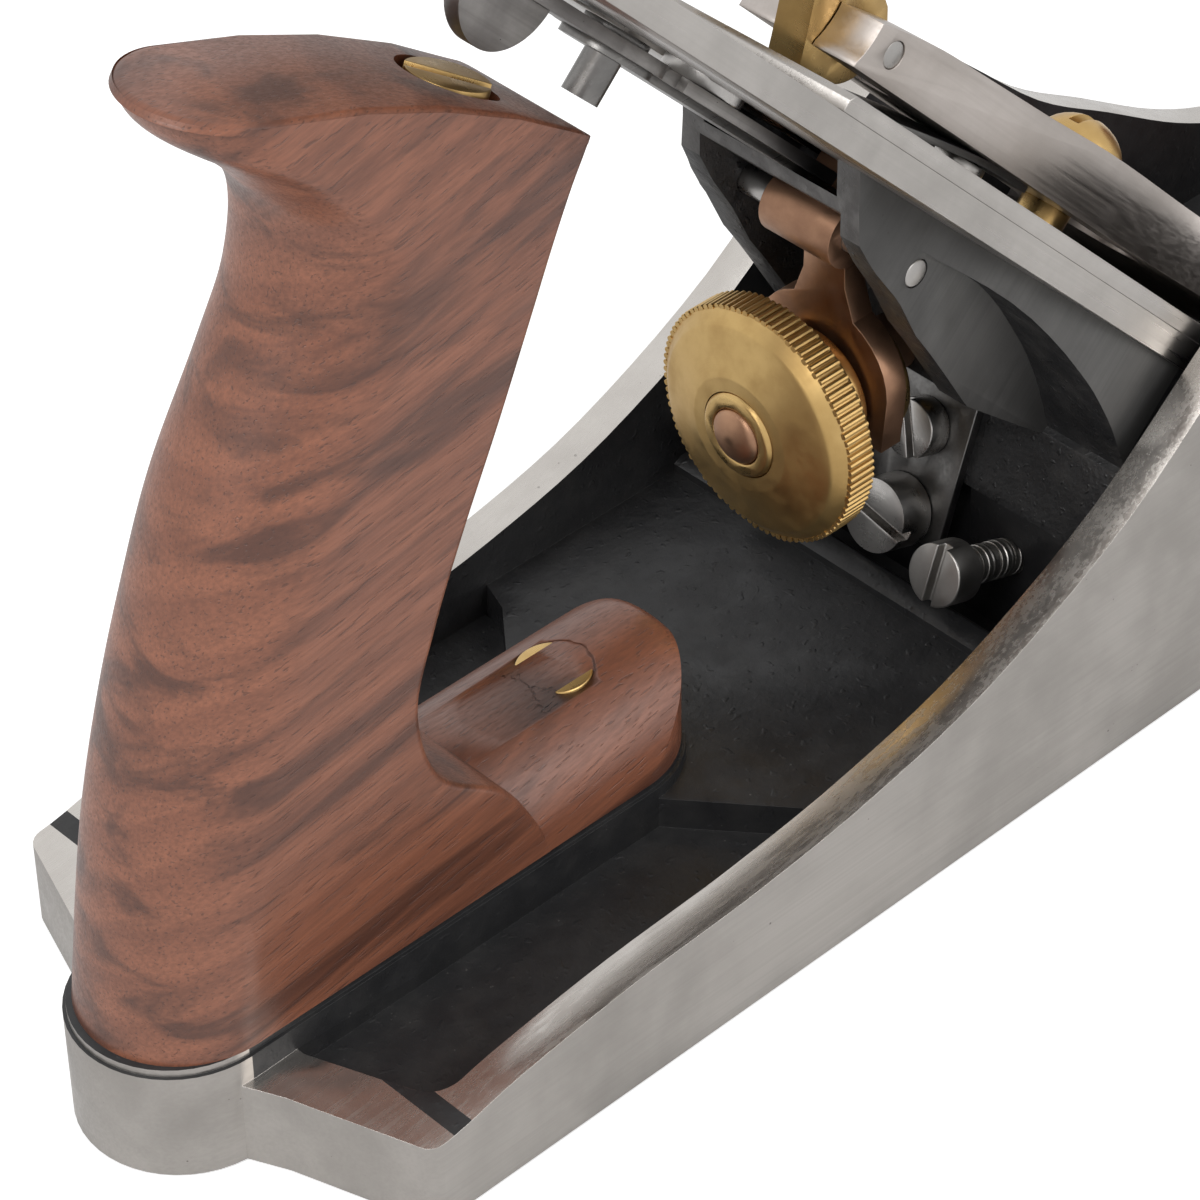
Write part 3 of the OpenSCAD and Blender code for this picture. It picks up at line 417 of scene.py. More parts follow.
def build_walnut(board: NodeBoard, given: dict, out: dict) -> None:
    """Growth rings, smoky streaks and pores along local X.

    Args:
        board: the group's board.
        given: its inputs by name.
        out: its outputs by name.
    """
    warp = board.noise(board.place(given["Vector"], scale=(9, 30, 30)), 1.0, 3.0, 0.5)
    x, y, z = board.split(given["Vector"])
    z2 = board.math("ADD", z, board.math("MULTIPLY", board.math("SUBTRACT", warp, 0.5), 0.014))
    square = board.math("ADD", board.math("MULTIPLY", z2, z2), board.math("MULTIPLY", y, y))
    radius = board.math("SQRT", square)
    spacing = board.math("MULTIPLY", given["Ring Scale"], 190.0)
    rings = board.math("FRACT", board.math("MULTIPLY", radius, spacing))
    ring = board.math("MULTIPLY", board.span(rings, 0.0, 0.75), board.span(rings, 0.8, 1.0, 1.0, 0.0))
    smoke = board.noise(board.place(given["Vector"], scale=(24, 90, 190)), 1.0, 4.0, 0.6, 0.9)
    fibre = board.noise(board.place(given["Vector"], scale=(150, 2600, 2600)), 1.0, 3.0, 0.65)
    pores = board.noise(board.place(given["Vector"], scale=(330, 3600, 3600)), 1.0, 1.0, 0.4)
    board.feed(out["Ring"], ring)
    board.feed(out["Smoke"], board.span(smoke, 0.44, 0.68))
    board.feed(out["Fibre"], fibre)
    board.feed(out["Pores"], board.span(pores, 0.62, 0.72))


class Effects:
    """The shared effect groups."""

    def __init__(self) -> None:
        """Builds every group once."""
        value = "NodeSocketFloat"
        self.made: dict[str, bpy.types.Material] = {}
        self.scratches = EffectGroup("fine_scratches", {"Vector": "vector", "Scale": 1.0},
                                     {"Height": value, "Mask": value}, build_scratches)
        self.cast_skin = EffectGroup("cast_skin", {"Vector": "vector", "Scale": 1.0},
                                     {"Height": value, "Mask": value, "Grit": value}, build_cast_skin)
        self.specks = EffectGroup("specks", {"Vector": "vector", "Scale": 1.0, "Cover": 0.2},
                                  {"Mask": value}, build_specks)
        self.clouding = EffectGroup("clouding", {"Vector": "vector", "Scale": 1.0},
                                    {"Mask": value, "Fine": value}, build_clouding)
        self.turning = EffectGroup("turning_rings", {"Vector": "vector", "Scale": 1.0},
                                   {"Height": value, "Mask": value}, build_turning)
        self.walnut = EffectGroup("walnut_grain", {"Vector": "vector", "Ring Scale": 1.0},
                                  {"Ring": value, "Smoke": value, "Fibre": value, "Pores": value}, build_walnut)


# Finishes


class Finish:
    """A material that is made when it is first asked for."""

    name: str

    def paint(self, board: NodeBoard, shader: bpy.types.Node, place: bpy.types.NodeSocket,
              fx: Effects) -> None:
        """Dresses the shader; each finish has its own."""
        raise NotImplementedError

    def material(self, fx: Effects) -> bpy.types.Material:
        """The finish as a material.

        Args:
            fx: the shared effects.

        Returns:
            The material, made once.
        """
        if self.name in fx.made:
            return fx.made[self.name]
        made = fx.made[self.name] = bpy.data.materials.new(self.name)
        made.use_nodes = True
        made.node_tree.nodes.clear()
        board = NodeBoard(made.node_tree)
        out = board.add("ShaderNodeOutputMaterial")
        shader = board.add("ShaderNodeBsdfPrincipled")
        made.node_tree.links.new(shader.outputs[0], out.inputs[0])
        self.paint(board, shader, board.add("ShaderNodeTexCoord").outputs["Object"], fx)
        return made


@dataclass(frozen=True)
class WalnutFinish(Finish):
    """Oiled walnut with smoky streaks."""

    name: str = "walnut"
    light: Colour = (0.270, 0.098, 0.052)
    middle: Colour = (0.175, 0.060, 0.032)
    dark: Colour = (0.045, 0.016, 0.010)
    grain_turn: Point = (0.0, math.radians(10), 0.0)
    heart: Point = (0.0, 0.034, 0.06)

    def paint(self, board: NodeBoard, shader: bpy.types.Node, place: bpy.types.NodeSocket,
              fx: Effects) -> None:
        """Colours the rings, streaks and pores.

        Args:
            board: the material's board.
            shader: its shader.
            place: the object's coordinates.
            fx: the shared effects.
        """
        turned = board.place(place, loc=self.heart, turn=self.grain_turn)
        wood = fx.walnut.put(board, Vector=turned, Ring_Scale=1.0)
        tone = board.mix(board.math("MULTIPLY", wood["Ring"], 0.55), self.light, self.middle)
        tone = board.mix(board.math("MULTIPLY", wood["Smoke"], 0.75), tone, self.dark)
        tone = board.mix(board.span(wood["Fibre"], 0.3, 0.7, 0.0, 0.35), tone, self.dark)
        tone = board.mix(board.math("MULTIPLY", wood["Pores"], 0.5), tone, self.dark)
        board.feed(shader.inputs["Base Color"], tone)
        board.feed(shader.inputs["Roughness"], board.span(wood["Fibre"], 0.3, 0.7, 0.36, 0.5))
        shader.inputs["Coat Weight"].default_value = 0.25
        shader.inputs["Coat Roughness"].default_value = 0.22
        height = board.math("SUBTRACT", board.math("MULTIPLY", wood["Fibre"], 0.4), wood["Pores"])
        board.feed(shader.inputs["Normal"], board.bump(height, 0.00006, 0.6))


@dataclass(frozen=True)
class TurnedMetalFinish(Finish):
    """Metal turned on a lathe about one axis."""

    name: str
    base: Colour
    tarnish: Colour
    centre: Point = (0.0, 0.0, 0.0)
    turn: Point = (0.0, 0.0, 0.0)
    rough: float = 0.27
    ring_depth: float = 0.00001

    def paint(self, board: NodeBoard, shader: bpy.types.Node, place: bpy.types.NodeSocket,
              fx: Effects) -> None:
        """Turning rings, tarnish and small scratches.

        Args:
            board: the material's board.
            shader: its shader.
            place: the object's coordinates.
            fx: the shared effects.
        """
        centred = board.place(board.place(place, loc=tuple(-c for c in self.centre)), turn=self.turn)
        rings = fx.turning.put(board, Vector=centred, Scale=1.0)
        cloud = fx.clouding.put(board, Vector=place, Scale=2.4)
        tone = board.mix(board.math("MULTIPLY", cloud["Mask"], 0.6), self.base, self.tarnish)
        board.feed(shader.inputs["Base Color"], tone)
        shader.inputs["Metallic"].default_value = 1.0
        rough = board.math("ADD", board.span(cloud["Fine"], 0.3, 0.7, self.rough - 0.05, self.rough + 0.09),
                           board.math("MULTIPLY", rings["Mask"], 0.05))
        board.feed(shader.inputs["Roughness"], rough)
        board.feed(shader.inputs["Normal"], board.bump(rings["Height"], self.ring_depth, 0.8))


@dataclass(frozen=True)
class GroundSteelFinish(Finish):
    """Steel ground in one direction."""

    name: str
    base: Colour
    shade: Colour
    turn: Point = (0.0, 0.0, 0.0)
    rough: float = 0.3
    depth: float = 0.000012
    metallic: float = 1.0

    def paint(self, board: NodeBoard, shader: bpy.types.Node, place: bpy.types.NodeSocket,
              fx: Effects) -> None:
        """Grinding lines over slow changes of tone.

        Args:
            board: the material's board.
            shader: its shader.
            place: the object's coordinates.
            fx: the shared effects.
        """
        turned = board.place(place, turn=self.turn)
        lines = fx.scratches.put(board, Vector=turned, Scale=1.0)
        cloud = fx.clouding.put(board, Vector=place, Scale=1.3)
        tone = board.mix(cloud["Mask"], self.base, self.shade)
        tone = board.mix(board.math("MULTIPLY", lines["Mask"], 0.3), tone, self.shade)
        board.feed(shader.inputs["Base Color"], tone)
        shader.inputs["Metallic"].default_value = self.metallic
        rough = board.span(lines["Height"], 0.3, 0.7, self.rough - 0.06, self.rough + 0.1)
        board.feed(shader.inputs["Roughness"], rough)
        board.feed(shader.inputs["Normal"], board.bump(lines["Height"], self.depth, 0.7))


@dataclass(frozen=True)
class PaintedCastFinish(Finish):
    """Black paint over a rough casting."""

    name: str
    paint_tone: Colour = (0.012, 0.012, 0.013)
    worn_tone: Colour = (0.05, 0.047, 0.044)
    skin_scale: float = 1.0
    depth: float = 0.00022
    rough: float = 0.4
    worn: float = 0.25

    def paint(self, board: NodeBoard, shader: bpy.types.Node, place: bpy.types.NodeSocket,
              fx: Effects) -> None:
        """Orange-peel skin with a little dust on its high spots.

        Args:
            board: the material's board.
            shader: its shader.
            place: the object's coordinates.
            fx: the shared effects.
        """
        skin = fx.cast_skin.put(board, Vector=place, Scale=self.skin_scale)
        cloud = fx.clouding.put(board, Vector=place, Scale=1.6)
        dust = fx.specks.put(board, Vector=place, Scale=2.2, Cover=0.16)
        tone = board.mix(board.math("MULTIPLY", board.math("MULTIPLY", skin["Mask"], cloud["Mask"]), self.worn),
                         self.paint_tone, self.worn_tone)
        tone = board.mix(board.math("MULTIPLY", dust["Mask"], 0.35), tone, (0.16, 0.15, 0.14))
        board.feed(shader.inputs["Base Color"], tone)
        rough = board.span(cloud["Fine"], 0.3, 0.7, self.rough - 0.06, self.rough + 0.12)
        board.feed(shader.inputs["Roughness"], rough)
        board.feed(shader.inputs["Normal"], board.bump(skin["Height"], self.depth, 0.75))


@dataclass(frozen=True)
class GroundIronFinish(Finish):
    """Grey iron ground flat, with fine pits."""

    name: str
    tone: Colour = (0.44, 0.415, 0.39)
    shade: Colour = (0.33, 0.31, 0.29)
    turn: Point = (0.0, 0.0, 0.0)
    rough: float = 0.34
    pits: float = 0.6
    metallic: float = 1.0

    def paint(self, board: NodeBoard, shader: bpy.types.Node, place: bpy.types.NodeSocket,
              fx: Effects) -> None:
        """Grinding lines, clouding and pits.

        Args:
            board: the material's board.
            shader: its shader.
            place: the object's coordinates.
            fx: the shared effects.
        """
        lines = fx.scratches.put(board, Vector=board.place(place, turn=self.turn), Scale=1.0)
        cloud = fx.clouding.put(board, Vector=place, Scale=1.0)
        pits = fx.specks.put(board, Vector=place, Scale=1.4, Cover=0.13)
        tone = board.mix(cloud["Mask"], self.tone, self.shade)
        tone = board.mix(board.math("MULTIPLY", lines["Mask"], 0.25), tone, self.shade)
        tone = board.mix(board.math("MULTIPLY", pits["Mask"], self.pits), tone, (0.045, 0.04, 0.036))
        board.feed(shader.inputs["Base Color"], tone)
        shader.inputs["Metallic"].default_value = self.metallic
        rough = board.span(lines["Height"], 0.3, 0.7, self.rough - 0.06, self.rough + 0.1)
        board.feed(shader.inputs["Roughness"], rough)
        height = board.math("SUBTRACT", board.math("MULTIPLY", lines["Height"], 0.5),
                            board.math("MULTIPLY", pits["Mask"], 1.2))
        board.feed(shader.inputs["Normal"], board.bump(height, 0.00002, 0.7))


# Mesh tools


def bridge(rings: int, count: int) -> list[tuple[int, ...]]:
    """Faces between closed rings of points.

    Args:
        rings: how many rings there are.
        count: points in each.

    Returns:
        The faces as point numbers.
    """
    return [(k * count + i, k * count + (i + 1) % count,
             (k + 1) * count + (i + 1) % count, (k + 1) * count + i)
            for k in range(rings - 1) for i in range(count)]


def new_piece(name: str, verts: Iterable[Sequence[float]],
              faces: Iterable[Sequence[int]]) -> bpy.types.Object:
    """A mesh object at the origin.

    Args:
        name: the piece's name.
        verts: its points, metres.
        faces: its faces as point numbers.

    Returns:
        The object.
    """
    mesh = bpy.data.meshes.new(name)
    mesh.from_pydata([tuple(v) for v in verts], [], [tuple(f) for f in faces])
    piece = bpy.data.objects.new(name, mesh)
    bpy.context.scene.collection.objects.link(piece)
    work = bmesh.new()
    work.from_mesh(mesh)
    bmesh.ops.remove_doubles(work, verts=work.verts, dist=1e-7)
    bmesh.ops.recalc_face_normals(work, faces=work.faces)
    work.to_mesh(mesh)
    work.free()
    return piece


def settle(piece: bpy.types.Object, angle: float = 35.0) -> bpy.types.Object:
    """Applies a piece's modifiers and smooths it.

    Args:
        piece: the piece.
        angle: edges sharper than this stay sharp, degrees.

    Returns:
        The same piece with a plain mesh.
    """
    graph = bpy.context.evaluated_depsgraph_get()
    graph.update()
    mesh = bpy.data.meshes.new_from_object(piece.evaluated_get(graph), preserve_all_data_layers=True,
                                           depsgraph=graph)
    piece.modifiers.clear()
    old = piece.data
    piece.data = mesh
    mesh.name = piece.name
    bpy.data.meshes.remove(old)
    mesh.shade_smooth()
    mesh.set_sharp_from_angle(angle=math.radians(angle))
    return piece


def dress(piece: bpy.types.Object, finish: Finish, fx: Effects) -> None:
    """Gives a piece one finish.

    Args:
        piece: the piece.
        finish: what it is dressed in.
        fx: the shared effects.
    """
    piece.data.materials.clear()
    piece.data.materials.append(finish.material(fx))


def combine(piece: bpy.types.Object, other: bpy.types.Object, operation: str) -> None:
    """Runs one boolean on a piece.

    Args:
        piece: what changes.
        other: a closed mesh, which is removed.
        operation: DIFFERENCE or UNION.
    """
    modifier = piece.modifiers.new("combine", "BOOLEAN")
    modifier.operation = operation
    modifier.solver = "EXACT"
    modifier.object = other
    settle(piece)
    bpy.data.objects.remove(other)


def cut_away(piece: bpy.types.Object, tools: Sequence[bpy.types.Object]) -> None:
    """Cuts closed meshes out of a piece and removes them."""
    for tool in tools:
        combine(piece, tool, "DIFFERENCE")


def join_solid(piece: bpy.types.Object, other: bpy.types.Object) -> None:
    """Fuses another closed mesh into a piece and removes it."""
    combine(piece, other, "UNION")


def axis_frame(start: Vector, direction: Vector) -> Matrix:
    """A frame whose Z runs along a direction.

    Args:
        start: its origin.
        direction: where Z points.

    Returns:
        The frame as a matrix.
    """
    turn = Vector((0, 0, 1)).rotation_difference(direction.normalized()).to_matrix().to_4x4()
    return Matrix.Translation(start) @ turn


def lathe(name: str, profile: Sequence[tuple[float, float]], start: Vector, direction: Vector,
          steps: int = 96) -> bpy.types.Object:
    """A turned solid.

    Args:
        name: the piece's name.
        profile: radius and height points in mm, from the axis round to the axis or a closed ring off it.
        start: the axis point at height 0, metres.
        direction: the axis.
        steps: points round.

    Returns:
        The piece.
    """
    place = axis_frame(start, direction)
    verts, faces, rings = [], [], []
    for radius, height in profile:
        if radius < 1e-6:
            rings.append([len(verts)] * steps)
            verts.append(place @ Vector((0, 0, height * MM)))
            continue
        rings.append(list(range(len(verts), len(verts) + steps)))
        for i in range(steps):
            a = 2 * math.pi * i / steps
            verts.append(place @ Vector((radius * math.cos(a) * MM, radius * math.sin(a) * MM, height * MM)))
    closed = profile[0][0] > 1e-6
    pairs = list(zip(rings, rings[1:])) + ([(rings[-1], rings[0])] if closed else [])
    for low, high in pairs:
        for i in range(steps):
            j = (i + 1) % steps
            face = list(dict.fromkeys((low[i], low[j], high[j], high[i])))
            if len(face) > 2:
                faces.append(face)
    return new_piece(name, verts, faces)


def rounded(profile: Sequence[tuple[float, float, float]], steps: int = 4) -> list[tuple[float, float]]:
    """Rounds the corners of a lathe profile.

    Args:
        profile: radius, height and corner radius, mm.
        steps: points per corner.

    Returns:
        The profile with its corners rounded.
    """
    points = [Vector(p[:2]) for p in profile]
    result: list[tuple[float, float]] = []
    for i, (point, item) in enumerate(zip(points, profile)):
        if item[2] <= 0 or i in (0, len(points) - 1):
            result.append(tuple(point))
            continue
        before, after = points[i - 1] - point, points[i + 1] - point
        reach = min(item[2], before.length * 0.48, after.length * 0.48)
        a, b = point + before.normalized() * reach, point + after.normalized() * reach
        for k in range(steps + 1):
            t = k / steps
            result.append(tuple(a * (1 - t) ** 2 + point * (2 * t * (1 - t)) + b * t * t))
    return result


def softened(node: str, name: str, width: float = 0.25, segments: int = 2,
             angle: float = 32.0) -> bpy.types.Object:
    """A copy of a CAD node with its edges broken.

    Args:
        node: the CAD node.
        name: the piece's name.
        width: width of the broken edge, mm.
        segments: steps across it.
        angle: edges sharper than this are broken, degrees.

    Returns:
        The piece, which stands for the node.
    """
    piece = cad_copy(node, name)
    break_edges(piece, width, segments, angle)
    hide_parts(node)
    return piece


def prism(name: str, outline: Sequence[tuple[float, float]], low: float, high: float,
          to_world: Callable[[float, float, float], Vector]) -> bpy.types.Object:
    """A straight-sided solid over a plan.

    Args:
        name: the piece's name.
        outline: its plan as points a, b in mm.
        low: where it starts along the third direction, mm.
        high: where it ends.
        to_world: turns a, b and the third value into a point.

    Returns:
        The piece.
    """
    count = len(outline)
    verts = [to_world(a, b, c) for c in (low, high) for a, b in outline]
    faces = [tuple(range(count)), tuple(range(count, 2 * count))] + bridge(2, count)
    return new_piece(name, verts, faces)


def on_bed(s: float, y: float, h: float) -> Vector:
    """Point over a plan that lies on the bed, mm to metres."""
    return bed(s, h, y)


def from_side(x: float, z: float, y: float) -> Vector:
    """Point of a side view at the sideways place y, mm to metres."""
    return Vector((x, y, z)) * MM


def cad_copy(node: str, name: str) -> bpy.types.Object:
    """A clean copy of a CAD node.

    Args:
        node: the CAD node.
        name: the copy's name.

    Returns:
        The copy, with its doubles merged and its flats joined.
    """
    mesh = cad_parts[node].data.copy()
    mesh.name = name
    work = bmesh.new()
    work.from_mesh(mesh)
    bmesh.ops.remove_doubles(work, verts=work.verts, dist=2e-6)
    bmesh.ops.dissolve_limit(work, angle_limit=math.radians(0.6), verts=work.verts, edges=work.edges)
    bmesh.ops.recalc_face_normals(work, faces=work.faces)
    work.to_mesh(mesh)
    work.free()
    piece = bpy.data.objects.new(name, mesh)
    bpy.context.scene.collection.objects.link(piece)
    return piece


def break_edges(piece: bpy.types.Object, width: float, segments: int = 2, angle: float = 32.0) -> None:
    """Rounds the sharp edges of a piece.

    Args:
        piece: the piece.
        width: width of the broken edge, mm.
        segments: steps across it.
        angle: edges sharper than this are broken, degrees.
    """
    modifier = piece.modifiers.new("edges", "BEVEL")
    modifier.width = width * MM
    modifier.segments = segments
    modifier.limit_method = "ANGLE"
    modifier.angle_limit = math.radians(angle)
    modifier.use_clamp_overlap = True
    modifier.miter_outer = "MITER_ARC"
    settle(piece, 40)


def add_mesh(piece: bpy.types.Object, other: bpy.types.Object) -> None:
    """Puts another piece's faces into a piece and removes the other.

    Args:
        piece: what grows.
        other: what is added.
    """
    work = bmesh.new()
    work.from_mesh(piece.data)
    work.from_mesh(other.data)
    work.to_mesh(piece.data)
    work.free()
    bpy.data.objects.remove(other)


def sort_faces(piece: bpy.types.Object, finishes: Sequence["Finish"], pick: Callable[[Vector, Vector], int],
               fx: Effects) -> None:
    """Gives each face one of several finishes.

    Args:
        piece: the piece.
        finishes: what its faces are dressed in.
        pick: number of the finish for a face's centre, mm, and its normal.
        fx: the shared effects.
    """
    piece.data.materials.clear()
    for finish in finishes:
        piece.data.materials.append(finish.material(fx))
    for face in piece.data.polygons:
        face.material_index = pick(face.center / MM, face.normal)


class Pattern:
    """A Geometry Nodes tree that repeats a form on a piece."""

    def __init__(self, name: str, inputs: dict[str, float],
                 build: Callable[[NodeBoard, dict], bpy.types.NodeSocket]) -> None:
        """Builds the tree.

        Args:
            name: the tree's name.
            inputs: input names and defaults; a whole number makes an integer input.
            build: makes the repeated form and returns its geometry.
        """
        self.tree = bpy.data.node_groups.new(name, "GeometryNodeTree")
        face = self.tree.interface
        face.new_socket("Geometry", in_out="INPUT", socket_type="NodeSocketGeometry")
        for key, value in inputs.items():
            kind = "NodeSocketInt" if isinstance(value, int) else "NodeSocketFloat"
            face.new_socket(key, in_out="INPUT", socket_type=kind).default_value = value
        face.new_socket("Finish", in_out="INPUT", socket_type="NodeSocketMaterial")
        face.new_socket("Geometry", in_out="OUTPUT", socket_type="NodeSocketGeometry")
        board = NodeBoard(self.tree)
        source, sink = board.add("NodeGroupInput"), board.add("NodeGroupOutput")
        given = {s.name: s for s in source.outputs if s.name}
        joined = board.add("GeometryNodeJoinGeometry")
        self.tree.links.new(given["Geometry"], joined.inputs[0])
        self.tree.links.new(build(board, given), joined.inputs[0])
        real = board.add("GeometryNodeRealizeInstances")
        self.tree.links.new(joined.outputs[0], real.inputs[0])
        coat = board.add("GeometryNodeSetMaterial")
        self.tree.links.new(real.outputs[0], coat.inputs["Geometry"])
        self.tree.links.new(given["Finish"], coat.inputs["Material"])
        self.tree.links.new(coat.outputs[0], sink.inputs[0])

    def apply(self, piece: bpy.types.Object, finish: "Finish", fx: Effects, **values: float) -> None:
        """Runs the tree on a piece that lies along local Z at the origin.

        Args:
            piece: the piece.
            finish: what it is dressed in.
            fx: the shared effects.
            values: the inputs, with _ for a blank.
        """
        modifier = piece.modifiers.new("pattern", "NODES")
        modifier.node_group = self.tree
        named = {key.replace("_", " "): value for key, value in values.items()}
        named["Finish"] = finish.material(fx)
        for item in self.tree.interface.items_tree:
            if item.in_out == "INPUT" and item.name in named:
                modifier[item.identifier] = named[item.name]
        settle(piece, 30)


def build_knurl(board: NodeBoard, given: dict) -> bpy.types.NodeSocket:
    """Straight rounded teeth round local Z, each a little different in size.

    Args:
        board: the tree's board.
        given: its inputs by name.

    Returns:
        The teeth's geometry.
    """
    ring = board.add("GeometryNodeMeshCircle", None, Vertices=given["Count"], Radius=given["Radius"])
    tooth = board.add("GeometryNodeMeshCylinder", None, Vertices=10, Radius=given["Tooth Radius"],
                      Depth=given["Length"])
    size = board.add("FunctionNodeRandomValue", {"data_type": "FLOAT"})
    size.inputs[2].default_value, size.inputs[3].default_value = 0.94, 1.04
    size.inputs["Seed"].default_value = 11
    spread = board.add("GeometryNodeInstanceOnPoints")
    board.tree.links.new(ring.outputs[0], spread.inputs["Points"])
    board.tree.links.new(tooth.outputs[0], spread.inputs["Instance"])
    board.tree.links.new(size.outputs[1], spread.inputs["Scale"])
    return spread.outputs[0]


def build_thread(board: NodeBoard, given: dict) -> bpy.types.NodeSocket:
    """A helical ridge round local Z, from 0 up.

    Args:
        board: the tree's board.
        given: its inputs by name.

    Returns:
        The ridge's geometry.
    """
    spiral = board.add("GeometryNodeCurveSpiral", None, Resolution=28, Rotations=given["Turns"],
                       Start_Radius=given["Radius"], End_Radius=given["Radius"], Height=given["Length"])
    ridge = board.add("GeometryNodeCurvePrimitiveCircle", None, Resolution=4, Radius=given["Ridge"])
    solid = board.add("GeometryNodeCurveToMesh", None, Fill_Caps=True)
    board.tree.links.new(spiral.outputs[0], solid.inputs["Curve"])
    board.tree.links.new(ridge.outputs[0], solid.inputs["Profile Curve"])
    return solid.outputs[0]


# Sub-assemblies


class Colours:
    """Tones that several finishes share."""

    BRASS: Colour = (0.60, 0.41, 0.17)
    BRASS_DARK: Colour = (0.40, 0.25, 0.09)
    BRONZE: Colour = (0.45, 0.26, 0.16)
    BRONZE_DARK: Colour = (0.22, 0.12, 0.08)
    STEEL: Colour = (0.52, 0.50, 0.48)
    STEEL_DARK: Colour = (0.30, 0.29, 0.28)


class Part(Enum):
    """Which rigid body a piece rides on."""

    CASTING = "casting"
    FROG = "frog_group"
    SLEEVE = "sleeve_part"
    WHEEL = "wheel_part"
    YOKE = "yoke_part"
    IRON = "iron_group"
    LATERAL = "lateral_arm"
    ROLLER = "roller_part"
    LEVER_CAP = "lever_cap_group"
    CAM = "cam_part"
    CAP_SCREW = "cap_screw_part"
    ADJUST_SCREW = "adjust_screw"
    CLAMP_LEFT = "clamp_screw_left"
    CLAMP_RIGHT = "clamp_screw_right"


